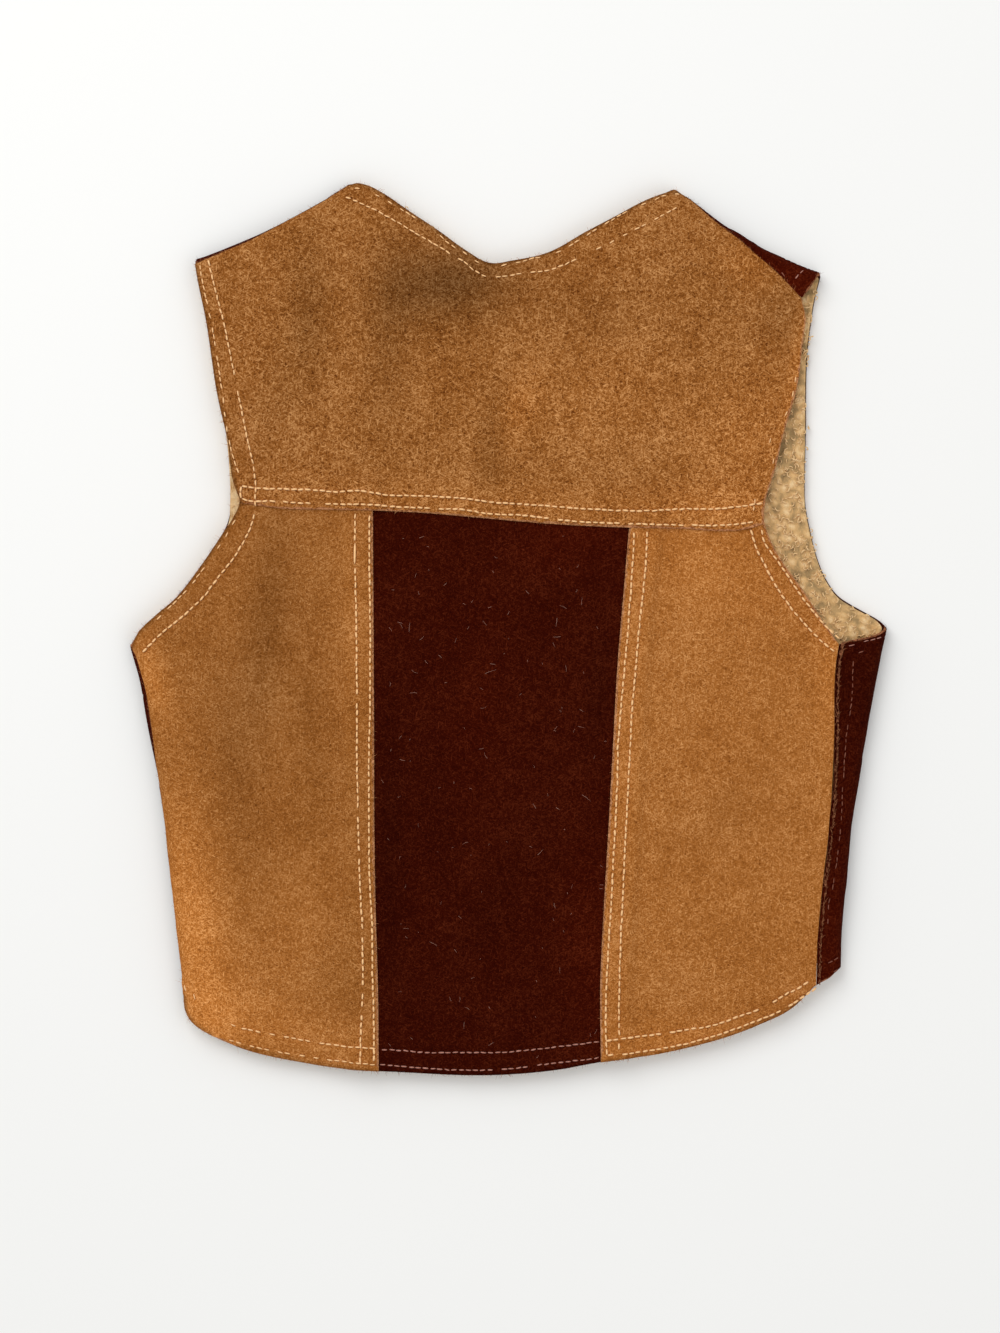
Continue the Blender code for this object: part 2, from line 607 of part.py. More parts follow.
def front_right_sides():
    """Sides of the right front as flat cloth, from the centre front to the side seam."""
    seam = front_cloth_over(RIGHT_SIDE_SEAM, RIGHT_SIDE_FOLD)
    strip_top = front_cloth_over(((165.6, -3.2), (153.6, -5.5)), RIGHT_SIDE_FOLD, 0)
    side_turn = front_cloth_under(((174.8, 0.9),), RIGHT_SIDE_FOLD)
    under = front_cloth_under(FRONT_RIGHT_ARMHOLE[::-1], RIGHT_SIDE_FOLD)
    shoulder_turn = front_cloth_under(((144, 164.6),), RIGHT_SHOULDER_FOLD)
    tip = front_cloth_over(((139.5, 158.4),), RIGHT_SHOULDER_FOLD, 0)
    shoulder = front_cloth_over(RIGHT_SHOULDER_SEAM, RIGHT_SHOULDER_FOLD)
    armhole = [shoulder[-1], *tip, *shoulder_turn, *under, *side_turn, *strip_top, seam[-1]]
    corner = (FRONT_GAP, FRONT_HEM[0][1])
    bottom = Edge([corner, *FRONT_HEM[1:], (150, -154), seam[0]])
    middle = Edge([corner, (FRONT_GAP, FRONT_OPENING_BASE)], [*FRONT_RIGHT_NECK, shoulder[0]])
    return bottom, Edge(shoulder, armhole), middle, Edge(seam)


def front_left_sides():
    """Sides of the left front as flat cloth, from the centre front to the side seam."""
    seam = side_seam_left(0)
    seam = LEFT_SIDE_FOLD.moved(seam, HALF_TURN - LEFT_SIDE_FOLD.beyond(seam) - SEAM_GAP / 2)
    shoulder = shoulder_seam_left()[::-1]
    shoulder = LEFT_SHOULDER_FOLD.moved(shoulder, HALF_TURN - LEFT_SHOULDER_TURN - SEAM_GAP / 2)
    side_turn = front_cloth_under(((-171.5, 0.2),), LEFT_SIDE_FOLD)
    armhole = [shoulder[-1], *FRONT_LEFT_ARMHOLE[::-1], *side_turn, seam[-1]]
    hem = [(-x, y) for x, y in FRONT_HEM[1:]]
    corner = (-FRONT_GAP, FRONT_HEM[0][1])
    bottom = Edge([corner, *hem, (-148, -160), seam[0]])
    middle = Edge([corner, (-FRONT_GAP, FRONT_OPENING_BASE)], [*FRONT_LEFT_NECK, shoulder[0]])
    return bottom, Edge(shoulder, armhole), middle, Edge(seam)


def front_grid(sides, inset=0.0):
    """Grid of a front, with close lines where it rolls at the side and at the shoulder.

    Its top side is the shoulder seam and the armhole, so its top outer corner is the underarm.
    """
    bottom, top, middle, seam = sides
    shoulder_steps, armhole_steps, steps_below, steps_above = 6, 3, 5, 3
    plain_steps = shoulder_steps + len(NEAR_TIP) - 1 + armhole_steps
    columns = (
        bottom.lines(((0,), NEAR_SIDE_SEAM, plain_steps)),
        top.lines(((0,), (0,), shoulder_steps), (NEAR_TIP, NEAR_SIDE_SEAM, armhole_steps)),
    )
    rows = (
        middle.lines(((0,), (0,), steps_below), ((0,), NEAR_SHOULDER_SEAM, steps_above)),
        seam.lines(((0,), NEAR_UNDERARM, steps_below + steps_above)),
    )
    return cloth_grid(sides, columns, rows, inset=inset)


def front(name, sides, folds, facing_up, material, collection):
    """Dark suede front, face down."""
    placed = lay_front(front_grid(sides), folds, 0.0)
    return add_cloth(name, placed, material, collection, SUEDE, facing_up=facing_up)


def front_lining(name, sides, folds, facing_up, material, collection):
    """Sherpa lining of a front, which rolls with it."""
    grid = front_grid(sides, LINING_INSET / 200)
    placed = lay_front(grid, folds, SUEDE + LINING_CLEARANCE)
    return add_lining(name, placed, lining_thickness(grid, placed, folds), material, collection, facing_up)


def main():
    for item in list(bpy.data.objects):
        bpy.data.objects.remove(item)
    collection = bpy.data.collections.new(OBJECT_NAME)
    bpy.context.scene.collection.children.link(collection)
    tan = principled("tan_suede", (0.285, 0.105, 0.024), 0.95)
    brown = principled("dark_brown_suede", (0.045, 0.006, 0.003), 0.95)
    cream = principled("cream_sherpa", (0.52, 0.32, 0.15), 1.0)
    back_yoke(tan, collection)
    back_panel_left(tan, collection)
    back_panel_centre(brown, collection)
    back_panel_right(tan, collection)
    lining_back(cream, collection)
    left_folds = (LEFT_SIDE_FOLD, LEFT_SHOULDER_FOLD)
    right_folds = (RIGHT_SIDE_FOLD, RIGHT_SHOULDER_FOLD)
    front("front_left", front_left_sides(), left_folds, True, brown, collection)
    front("front_right", front_right_sides(), right_folds, False, brown, collection)
    front_lining("lining_front_left", front_left_sides(), left_folds, True, cream, collection)
    front_lining("lining_front_right", front_right_sides(), right_folds, False, cream, collection)


main()
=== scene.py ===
"""Looks of a child's suede western vest with a sherpa lining, laid flat with its back up.

Each piece of cloth is a closed wall, laid over the same folds as the frame's solids, on a fine grid.
Outlines are in millimetres from the middle of the laid vest, as seen from above.
"""

import math

import bpy
import mathutils
import numpy as np
from bpy.props import FloatProperty, IntProperty, PointerProperty, StringProperty
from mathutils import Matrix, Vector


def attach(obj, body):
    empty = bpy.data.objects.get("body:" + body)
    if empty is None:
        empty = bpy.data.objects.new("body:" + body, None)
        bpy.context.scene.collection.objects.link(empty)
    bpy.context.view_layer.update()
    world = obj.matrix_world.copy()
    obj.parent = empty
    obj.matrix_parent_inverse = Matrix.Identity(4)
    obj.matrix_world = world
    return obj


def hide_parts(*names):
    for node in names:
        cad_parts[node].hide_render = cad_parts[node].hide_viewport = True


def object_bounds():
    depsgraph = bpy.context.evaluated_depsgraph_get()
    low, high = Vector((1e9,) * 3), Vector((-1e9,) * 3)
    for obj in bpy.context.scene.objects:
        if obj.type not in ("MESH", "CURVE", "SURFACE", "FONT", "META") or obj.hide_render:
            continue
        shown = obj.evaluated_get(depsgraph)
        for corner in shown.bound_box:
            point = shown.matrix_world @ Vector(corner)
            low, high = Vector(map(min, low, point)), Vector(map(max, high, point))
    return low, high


bl_info = {
    "name": "Western Vest",
    "version": (1, 0, 0),
    "blender": (4, 5, 0),
    "location": "View3D > Sidebar > Vest",
    "description": "Makes the cloth, stitching, pile and stage of a suede western vest",
    "category": "Object",
}

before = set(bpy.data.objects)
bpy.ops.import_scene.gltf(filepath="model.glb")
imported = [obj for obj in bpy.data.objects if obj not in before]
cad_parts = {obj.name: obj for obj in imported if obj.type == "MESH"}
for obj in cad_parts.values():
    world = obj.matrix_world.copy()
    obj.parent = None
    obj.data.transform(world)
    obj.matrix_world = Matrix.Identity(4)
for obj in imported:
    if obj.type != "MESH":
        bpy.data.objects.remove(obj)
FRAME_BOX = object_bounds()

MM = 0.001
TINY = 1e-9

# Middle of the finished vest's box, which is put at the origin
LAID_MIDDLE = (-0.48, -0.54, 0.0)

# Cloth and the laid stack, in millimetres. The lining's inset is taken as a share of the usual spans
SUEDE = 1.2
STACK_HEIGHT = 12.0
FOLD_REACH = 6.0
EDGE_DROP = 2.2
EDGE_DROP_WIDTH = 26.0
LINING_CLEARANCE = 1.0
LINING_FOLD_SLACK = 1.5
SEAM_GAP = 0.2
LINING_INSET = 0.9
BACK_SPAN = 250
FRONT_SPAN = 200

# Lapped seams: the upper piece climbs over the lower one's hidden edge
SIDE_LAP = 10.5
YOKE_LAP = 11.0
LAP_MARGIN = 1.5
LAP_RAMP = 5.5
LAP_STEP = SUEDE + 0.5

# Folds as seen from above: x by y at the sides, y by x at the shoulders
LEFT_SIDE = {
    "y": (-176, -152, -134, -115, -97, -79, -60, -42, -23, -9, 30),
    "x": (-150.4, -151.8, -154.1, -156.4, -158.2, -160.5, -163.8, -167.4, -170.9, -174.8, -183),
}
RIGHT_SIDE = {
    "y": (-176, -156, -143, -125, -106, -88, -69, -51, -33, -14, 1, 30),
    "x": (152.6, 153.4, 153.6, 155, 156.9, 158.7, 161.9, 164.7, 167.9, 171.6, 174.8, 181),
}
LEFT_SHOULDER = {
    "x": (-160, -144.4, -128, -112, -98, -84, -70),
    "y": (165.8, 171, 177.1, 183.9, 191.3, 199.4, 208),
}
RIGHT_SHOULDER = {
    "x": (74, 82.8, 92, 100, 108, 117, 126, 135, 144, 156),
    "y": (205.6, 199.4, 192.3, 186.2, 181.5, 176, 172, 168, 164.7, 160),
}

# Edges of the back as seen from above, each as (x, y)
NECKLINE = (
    (-74, 205.4), (-66.5, 204.9), (-60.5, 202.2), (-45, 192), (-31.7, 183.1), (-20, 174.6), (-9.2, 168.8),
    (3.2, 170.2), (17.5, 173.4), (35.4, 183.1), (50, 190.8), (63.5, 197.9), (73.5, 201.8), (79.5, 202.2),
    (81.9, 200.9),
)
RIGHT_SHOULDER_SEAM = (
    (81.9, 200.4), (92, 190.3), (100.3, 183.5), (106.7, 178.6), (113.6, 172.5), (120.1, 167.2),
    (127.4, 160.4), (134.8, 152.3),
)
YOKE_LEFT_ARMHOLE = (
    (-123.3, 58), (-127, 68), (-129.7, 86.9), (-133.9, 105.3), (-140.5, 146.7), (-143, 158.2),
    (-144.8, 169.4),
)
YOKE_RIGHT_ARMHOLE = (
    (117.3, 48.6), (117.3, 56.6), (118.7, 61.6), (122.8, 74.1), (125.8, 86.9), (133.4, 114.5),
    (135.6, 133.9), (136.8, 142.6), (136, 150.6),
)
YOKE_LOWER_EDGE = (
    (-123.3, 57.8), (-103.5, 55.2), (-84.2, 54.7), (-43.2, 53.4), (-15.6, 51.1), (5.1, 49.2), (39.6, 46.9),
    (75, 46), (113.6, 46.9), (117.3, 48.3),
)
PANEL_LEFT_ARMHOLE = (
    (-174.4, -9), (-173.1, -5.3), (-170.8, -1.5), (-162.8, 6.4), (-154.6, 13.3), (-142.1, 29),
    (-132.5, 43.2), (-127, 51.5), (-124.2, 58), (-126.8, 68.6),
)
PANEL_RIGHT_ARMHOLE = (
    (152, -7), (142.6, 6.9), (135.2, 18.4), (127.4, 29), (120.1, 41.9), (117.6, 50), (118.2, 59.4),
)
RIGHT_SIDE_SEAM = (
    (141.6, -164), (141.8, -152), (142.8, -134), (144.6, -115.5), (146.8, -97), (148.3, -78.7),
    (149.6, -51), (150.8, -14.3), (152, -7),
)
LEFT_HEM_CORNER = ((-150.6, -169), (-149.2, -176.6), (-144.4, -182.6), (-137.1, -187.2))
HEM = (
    (-125.6, -192.3), (-96.1, -199.6), (-77.7, -202.4), (-61.6, -203.6), (-47.8, -204.2), (-26.2, -205.4),
    (-4.1, -205.4), (23.5, -202.9), (42.8, -199.4), (73.1, -195), (86.9, -191.8), (104, -186.8),
    (115.5, -182.2), (129.7, -175.2), (139.8, -166.8),
)
CENTRE_EDGE_LEFT = {"y": (-206, -164, -118, -35, 52), "x": (-60, -60.3, -61.6, -62.1, -62.6)}
CENTRE_EDGE_RIGHT = {"y": (-200, -164, -118, -72, -35, 11, 46), "x": (42.3, 42, 44.2, 46.9, 48.8, 52, 56.1)}

# How far the left side seam lies round the fold, by y, along the cloth from where the fold begins
LEFT_SEAM_TURN = {
    "y": (-176, -110, -90, -72, -58, -45, -28, -16, -12, -9),
    "along": (10, 10, 9.6, 8.2, 6.4, 4.8, 4.3, 4.5, 4.8, 6.4),
}

# The same for the left shoulder seam, at the tip and at the neck
LEFT_SHOULDER_TURN = (3.7, 7.6)

# Edges of the fronts as seen from above
FRONT_GAP = 1.0
FRONT_OPENING_BASE = 62.0
FRONT_RIGHT_NECK = ((1, 62), (16, 88), (38, 124), (58, 158), (72, 184))
FRONT_LEFT_NECK = ((-1, 62), (-13, 88), (-32, 124), (-50, 158), (-64, 186))
FRONT_HEM = ((0, -196), (40, -188), (80, -177), (112, -165), (134, -157))
FRONT_RIGHT_ARMHOLE = (
    (165.6, 7.4), (158.2, 11.5), (152.7, 15.2), (146.7, 23.5), (142.6, 33.6), (139.4, 46.5), (137.5, 56.6),
    (137.1, 71.8), (137.5, 86.9), (138.9, 133.9), (141.2, 150),
)
FRONT_LEFT_ARMHOLE = (
    (-163.2, 5.6), (-155.1, 13.7), (-142.7, 29.3), (-133, 43.4), (-129.6, 51.7), (-129, 62),
    (-129.8, 80), (-133, 105), (-139.2, 140), (-141.4, 154),
)

# Least distance between a piece's corner on the hem and the next point of the hem
HEM_SPACING = 4

# Main creases of the back, ridges above zero and soft troughs below. Each row has the middle's x and y,
# the reach along and across, the turn in degrees and the rise
CREASES = (
    (-4, 112, 62, 19, 86, -0.9), (0, 168, 40, 46, 0, -1.4), (-52, 100, 46, 24, 100, 0.8),
    (58, 96, 44, 25, 70, 0.8), (-92, 128, 44, 20, 95, -0.7), (104, 112, 40, 20, 60, -0.6),
    (-122, -70, 70, 19, 104, -0.9), (-104, -30, 54, 20, 76, -0.6), (-100, -120, 60, 26, 90, 0.8),
    (96, -62, 60, 30, 10, 0.6), (92, -118, 56, 20, 168, -0.5), (-10, -110, 90, 30, 84, 0.6),
)

# Rows of stitches as seen from above. shown is the share of stitches that stand out of the nap, and width,
# where it is given, the share of the thread's thickness that the nap leaves bare
STITCH_ROWS = (
    {"piece": "yoke", "width": 0.72, "shown": 0.75, "points": (  # neck, inner
        (-75.4, 199.2), (-69, 196.4), (-60.3, 192.3), (-43.2, 182.6), (-27.1, 173), (-21.6, 169.7),
        (-11.5, 162.8), (-3.7, 162.4), (7.8, 164.2), (17, 165.1), (30.4, 170.2), (41.9, 175.7), (52, 180.8),
        (63, 186.5), (74.1, 192.5), (77.7, 194.6),
    )},
    {"piece": "yoke", "width": 0.65, "shown": 0.6, "points": (  # neck, outer
        (-74.5, 203.3), (-67.6, 202.6), (-59.8, 199.2), (-50.1, 193.7), (-32.2, 181.5), (-27.1, 177.3),
        (-21.2, 173.7), (-14.7, 169.3), (-10.6, 167.7), (3.2, 168.8), (10.6, 170.7), (17.9, 172),
        (24.4, 174.6), (35.9, 181.7), (48.3, 189.1), (63.5, 196.4), (73.1, 200.1), (79.1, 200.8),
    )},
    {"piece": "yoke", "width": 0.85, "shown": 0.95, "points": (  # left armhole, inner
        (-138.5, 170.2), (-136.6, 161.5), (-133.9, 150.9), (-131.1, 139.4), (-125.6, 112.7), (-120.1, 85.6),
        (-117.8, 75.4), (-116.8, 67.6), (-116.8, 56.1),
    )},
    {"piece": "yoke", "width": 0.7, "shown": 0.7, "points": (  # left armhole, outer
        (-142.6, 168.4), (-140.3, 155.5), (-137.1, 140.8), (-132.5, 112.2), (-128.3, 83.7), (-126.5, 77.3),
        (-124.2, 70.4), (-123.3, 65.3),
    )},
    {"piece": "yoke", "shown": 1, "points": (  # end of the lap
        (-123.3, 65.8), (-123.7, 63), (-123.3, 60.3),
    )},
    {"piece": "yoke", "width": 0.65, "shown": 0.15, "points": (  # right armhole, inner
        (132.9, 151.3), (131.6, 142.1), (130.2, 133.9), (128.3, 114.5), (122.8, 94.3), (119.1, 83.3),
        (116.8, 75), (114.1, 63.9), (111.8, 50.6),
    )},
    {"piece": "yoke", "width": 0.6, "shown": 0.2, "points": (  # right armhole, outer
        (135.2, 148.6), (133.4, 132.9), (132, 114.5), (123.7, 86), (121, 74.1), (117.3, 63), (115.9, 50.6),
    )},
    {"piece": "yoke", "shown": 1, "points": (  # lap, upper
        (-123.3, 65.8), (-116.4, 64.9), (-103.5, 64.4), (-90.6, 63.9), (-79.1, 63), (-69.9, 63.5),
        (-56.6, 61.6), (-44.2, 61.2), (-30.4, 60.7), (-15.6, 59.3), (-5.5, 58), (5.1, 57.5), (23.5, 56.1),
        (42.8, 54.7), (65.3, 54.3), (80, 55.2), (92, 55.2), (104, 56.1), (116.8, 58),
    )},
    {"piece": "yoke", "shown": 0.9, "points": (  # lap, lower
        (-123.3, 60.3), (-121, 59.3), (-109.9, 58.9), (-97.1, 58), (-84.2, 57.5), (-64.9, 57),
        (-44.2, 55.7), (-32.7, 55.2), (-19.8, 54.7), (-9.2, 52.9), (5.1, 52.4), (23.5, 50.1), (54.3, 48.3),
        (78.7, 47.8), (99.8, 47.8), (115.9, 49.7),
    )},
    {"piece": "left", "shown": 1, "points": (  # armhole, inner
        (-117.3, 53.4), (-118.2, 49.2), (-121.4, 41.9), (-126, 34), (-133.9, 23.9), (-141.7, 13.8),
        (-151.8, 4.6), (-162.4, -4.1), (-168.8, -11),
    )},
    {"piece": "left", "width": 0.7, "shown": 0.6, "points": (  # armhole, outer
        (-124.2, 53.4), (-126.5, 49.7), (-131.1, 41.9), (-138.5, 31.3), (-148.6, 17.9), (-158.2, 8.3),
        (-167, -0.5),
    )},
    {"piece": "left", "shown": 1, "points": (  # lap, outer
        (-64.2, 52.4), (-64.2, 29.4), (-63.9, 11), (-63.9, -35), (-64.4, -62.6), (-64.4, -81),
        (-63.9, -117.8), (-63, -136.2), (-62.6, -163.8), (-62.1, -184.5), (-62.1, -199.2),
    )},
    {"piece": "left", "shown": 1, "pitch": 12.0, "points": (  # lap, long stitch
        (-70.9, 39.9), (-70.9, 28.2),
    )},
    {"piece": "left", "shown": 1, "points": (  # lap, inner, top
        (-70.8, 53.8), (-70.8, 39.9),
    )},
    {"piece": "left", "shown": 0.95, "points": (  # lap, inner
        (-70.8, 28.2), (-70.4, 11), (-69.9, -35), (-69.9, -62.6), (-69.5, -81), (-68.5, -117.8),
        (-67.6, -136.2), (-67.2, -163.8), (-68.1, -184.5), (-68.5, -200.1),
    )},
    {"piece": "left", "width": 0.8, "shown": 0.85, "points": (  # hem, upper
        (-123.7, -183.5), (-118.2, -184.9), (-108.1, -186.8), (-98.9, -188.6), (-73.6, -192.3),
        (-65.3, -192.7), (-61.2, -193.2),
    )},
    {"piece": "left", "width": 0.7, "shown": 0.75, "points": (  # hem, lower
        (-129.3, -189.1), (-118.2, -192.3), (-105.3, -195), (-90.6, -197.3), (-75.4, -199.2),
        (-61.2, -200.6),
    )},
    {"piece": "left", "width": 0.6, "shown": 0.12, "points": (  # hem corner, upper
        (-146.7, -161.5), (-144, -171.1), (-136.6, -178), (-125.6, -183.1),
    )},
    {"piece": "left", "width": 0.6, "shown": 0.12, "points": (  # hem corner, lower
        (-149.5, -163.8), (-147.2, -174.3), (-140.3, -183.1), (-130.2, -189.1),
    )},
    {"piece": "centre", "shown": 0.95, "points": (  # hem, upper
        (-58.9, -193.7), (-49.7, -194.1), (-40, -195), (-26.2, -195), (-5.1, -195), (23.5, -192.3),
        (41.9, -190),
    )},
    {"piece": "centre", "shown": 0.95, "points": (  # hem, lower
        (-59.8, -200.6), (-47.8, -201.5), (-37.7, -202.4), (-30.8, -202.9), (-5.1, -202.9), (23.5, -199.6),
        (39.1, -197.8), (41.9, -197.3),
    )},
    {"piece": "right", "shown": 1, "points": (  # armhole, inner
        (111.3, 46), (113.6, 38.2), (116.8, 31.3), (122.4, 20.7), (129.3, 10.6), (137.5, 0.9), (144.4, -6),
        (150, -10.6),
    )},
    {"piece": "right", "shown": 0.95, "points": (  # armhole, outer
        (116.4, 46), (117.3, 40.9), (122.8, 32.7), (130.6, 21.2), (137.5, 11.5), (145.8, 1.4),
        (152.3, -4.6),
    )},
    {"piece": "right", "shown": 1, "points": (  # lap, outer
        (57.5, 44.6), (56.6, 27.6), (55.7, 13.8), (54.3, -4.6), (52.9, -19.8), (51.5, -35), (50.1, -53.4),
        (49.7, -71.8), (48.8, -90.2), (47.8, -108.6), (46.9, -127), (45.5, -150), (44.6, -170.7),
        (44.6, -189.1), (45.1, -196),
    )},
    {"piece": "right", "shown": 0.95, "points": (  # lap, inner
        (63.5, 45.1), (62.6, 27.6), (61.2, 13.8), (59.3, -4.6), (58, -19.8), (56.6, -35), (55.7, -53.4),
        (54.7, -71.8), (53.8, -90.2), (52.9, -108.6), (52, -127), (51.1, -150), (50.6, -170.7),
        (50.6, -193.7),
    )},
    {"piece": "right", "shown": 0.95, "points": (  # hem, upper
        (44.6, -189.5), (50.6, -188.6), (66.7, -186.8), (81.9, -184.5), (93.8, -182.6), (104.4, -178.9),
        (114.5, -175.3), (121.9, -171.6), (127, -168.4), (132.9, -165.6), (138, -162.4),
    )},
    {"piece": "right", "shown": 0.85, "points": (  # hem, lower
        (45.1, -196), (54.3, -195.5), (64.4, -194.1), (81.9, -190.9), (99.8, -185.8), (114.5, -180.3),
        (122.4, -177.1), (127, -174.8), (134.3, -170.2), (141.7, -165.1),
    )},
    {"piece": "strip", "thread": "dark", "shown": 0.95, "points": (  # top edge, upper
        (156.4, -7.8), (160.5, -6.9), (164.2, -5.5), (168.4, -4.6), (172.5, -3.7),
    )},
    {"piece": "strip", "shown": 0.5, "points": (  # top edge, lower
        (160.5, -11), (164.2, -10.1), (168.8, -9.4), (172.5, -8.7),
    )},
    {"piece": "strip", "shown": 0.8, "points": (  # topstitch
        (158.7, -11.5), (158.2, -19.8), (157.8, -30.4), (155.5, -46.5), (153.6, -72.7), (151.8, -98.9),
        (149, -118.2), (147.2, -126), (146.7, -136.2),
    )},
    {"piece": "strip", "shown": 0.6, "points": (  # hem, upper
        (146.7, -154.1), (149.5, -152.7), (152.3, -151.3),
    )},
    {"piece": "strip", "shown": 0.5, "points": (  # hem, lower
        (146.7, -159.6), (149.5, -158.2), (151.8, -156.9),
    )},
    {"piece": "tip", "thread": "dark", "shown": 0.9, "points": (  # armhole, inner
        (136.2, 166.5), (133.9, 163.8), (131.6, 161),
    )},
    {"piece": "tip", "shown": 0.4, "points": (  # topstitch
        (121, 169.3), (124.2, 166.5), (127.4, 161.9),
    )},
)

# Each piece's share of its suede's own colour, and its softly darker and lighter places, in rows like
# those of the creases. The places are partly the nap's own patches, partly painted shade in troughs and
# in the dip at the neck, and painted light on ridges and puffed laps
PIECE_TONES = {"yoke": 0.88, "left": 0.92, "right": 1.14, "centre": 0.89, "strip": 0.9, "tip": 0.9}
TONES_AND_PAINTED_SHADE = {
    "yoke": (
        (-27, 160, 30, 20, 8, -0.48), (-55, 140, 46, 11, 86, -0.16), (-92, 146, 34, 10, 88, -0.2),
        (-108, 104, 24, 10, 80, -0.08), (5, 102, 16, 8, 70, 0.2), (44, 104, 40, 26, 10, 0.12),
        (34, 148, 28, 14, -10, -0.08), (112, 84, 40, 30, 60, 0.26), (110, 167, 14, 9, -35, 0.2),
        (132, 112, 36, 4, 82, 0.3), (128, 148, 18, 12, 70, -0.14), (-8, 84, 28, 7, 86, -0.14),
        (0, 56, 130, 9, -3, 0.14), (92, 54, 40, 12, 0, 0.2),
    ),
    "left": (
        (-112, 2, 54, 11, 84, -0.22), (-128, -58, 44, 10, 98, -0.1), (-92, -36, 44, 9, 96, -0.08),
        (-70, 6, 60, 10, 90, 0.16), (-146, -140, 62, 17, 98, 0.66), (-106, -150, 46, 24, 60, 0.2),
        (-104, -186, 62, 16, -12, 0.3), (-165, -22, 20, 8, 105, 0.42),
    ),
    "right": (
        (94, 30, 40, 26, -30, 0.17), (100, -86, 24, 16, 40, -0.08), (50, -78, 130, 8, 86, 0.12),
        (147, -24, 30, 7, 88, 0.2), (74, -190, 34, 11, 8, 0.18),
    ),
    "centre": (
        (-56, -104, 70, 9, 89, -0.2), (-34, -84, 40, 9, 96, -0.09), (-14, -34, 36, 14, 84, 0.13),
        (28, 42, 26, 14, 20, 0.25), (41, -30, 28, 7, 86, -0.16), (36, -150, 46, 12, 92, 0.22),
        (-8, -126, 34, 12, 60, -0.09),
    ),
    "strip": (
        (128, 162, 22, 14, -40, 0.5), (160, -20, 30, 20, 90, -0.15), (146, -150, 40, 16, 95, 0.25),
    ),
}

# Share of the thread's thickness that each piece's nap leaves bare
THREAD_SHARES = {"yoke": 1.0, "left": 1.0, "right": 1.0, "centre": 0.75, "strip": 0.5, "tip": 0.6}
STITCH_HALF = 0.39

# Small forms of the suede and the pile, in millimetres; the painted shades, the pile's contrast of painted
# shade and light, and the notch's painted light are shares of a colour
HIDE_WAVE = 0.16
GROOVE_DEPTH = 0.42
GROOVE_WIDTH = 0.95
PUCKER_LENGTH = 6.5
PUCKER_HEIGHT = 0.09
PUCKER_REACH = 4.0
RIDGE_HEIGHT = 0.9
RIDGE_PLACE = 1.7
RIDGE_WIDTH = 0.9
RIM_SHADE = 0.5
RIM_WIDTH = 1.1
CRACK_SHADE = 0.35
CRACK_WIDTH = 0.9
LOCK_SIZE = 6.0
PILE_LUMP = 1.3
PILE_ROUNDING = 3.5
EDGE_THICKNESS = 0.15
PILE_CONTRAST = 0.55
NOTCH_LIGHT = 0.5
FUZZ_SPACING = 0.9
FLOOR_CLEARANCE = 0.1
LINT_ACROSS = (-58, 46)
LINT_ALONG = (-200, 46)
RIDGE_FIBRES = 520
CURLS = {"lining_back": 500, "lining_front_left": 30, "lining_front_right": 450}

# The photograph's frame at the vest, in millimetres, and the camera in metres
PHOTO_HEIGHT = 613.2
PHOTO_MIDDLE = (-4.14, -17.25)
CAMERA_HEIGHT = 1.5
ROOM_LIGHT = 0.6
PAPER = "#F4F4F2"
FLOOR_REACH = 3.0
LAMPS = (
    {"name": "window", "place": (-0.7, 0.9, 1.5), "size": 1.4, "watts": 17},
    {"name": "card", "place": (0.9, -0.6, 1.6), "size": 1.6, "watts": 6},
)


def by_table(table, along, across):
    """A smooth function through a table's rows: a cubic between rows with the slope of their neighbours."""
    places = np.array(table[along], float)
    values = np.array(table[across], float)
    slopes = np.gradient(values, places)

    def at(place):
        place = np.clip(place, places[0], places[-1])
        row = np.clip(np.searchsorted(places, place, side="right") - 1, 0, len(places) - 2)
        gap = places[row + 1] - places[row]
        part = (place - places[row]) / gap
        rise = values[row + 1] - values[row]
        first = part * part * (3 - 2 * part)
        pull = part * (1 - part) * ((1 - part) * (slopes[row] * gap) - part * (slopes[row + 1] * gap))
        return values[row] + first * rise + pull

    return at


def curve(points):
    """A smooth curve through points, as a function of the share of its length."""
    points = np.array(points, float)
    steps = np.linalg.norm(np.diff(points, axis=0), axis=1)
    shares = np.concatenate([[0], np.cumsum(steps)]) / steps.sum()
    along_x = by_table({"share": shares, "x": points[:, 0]}, "share", "x")
    along_y = by_table({"share": shares, "y": points[:, 1]}, "share", "y")
    return lambda share: np.stack([along_x(share), along_y(share)], axis=-1)


class Edge:
    """One side of a piece: smooth stretches end to end, as a function of the share of its length."""

    def __init__(self, *stretches):
        self.curves = [curve(points) for points in stretches]
        steps = [np.diff(np.array(points, float), axis=0) for points in stretches]
        self.lengths = [np.linalg.norm(step, axis=1).sum() for step in steps]
        self.ends = np.concatenate([[0], np.cumsum(self.lengths)]) / sum(self.lengths)

    def __call__(self, share):
        share = np.asarray(share, float)
        places = self.curves[0](share / self.ends[1])
        for number in range(1, len(self.curves)):
            start, stop = self.ends[number], self.ends[number + 1]
            here = self.curves[number]((share - start) / (stop - start))
            places = np.where((share > start)[..., None], here, places)
        return places


def distance_to(points, x, y):
    """Shortest distance from each place to the line through the points."""
    points = np.array(points, float)
    shortest = np.full(np.shape(x), 1e6)
    for start, end in zip(points[:-1], points[1:]):
        run = end - start
        part = np.clip(((x - start[0]) * run[0] + (y - start[1]) * run[1]) / (run @ run), 0, 1)
        away = np.hypot(x - start[0] - part * run[0], y - start[1] - part * run[1])
        shortest = np.minimum(shortest, away)
    return shortest


FREE_EDGES = (
    NECKLINE, YOKE_LEFT_ARMHOLE, YOKE_RIGHT_ARMHOLE, PANEL_LEFT_ARMHOLE[1:], PANEL_RIGHT_ARMHOLE[1:], HEM,
)


def bell(share):
    """1 at the middle, falling off both ways: e to the power of minus the square."""
    return np.exp(-(share ** 2))


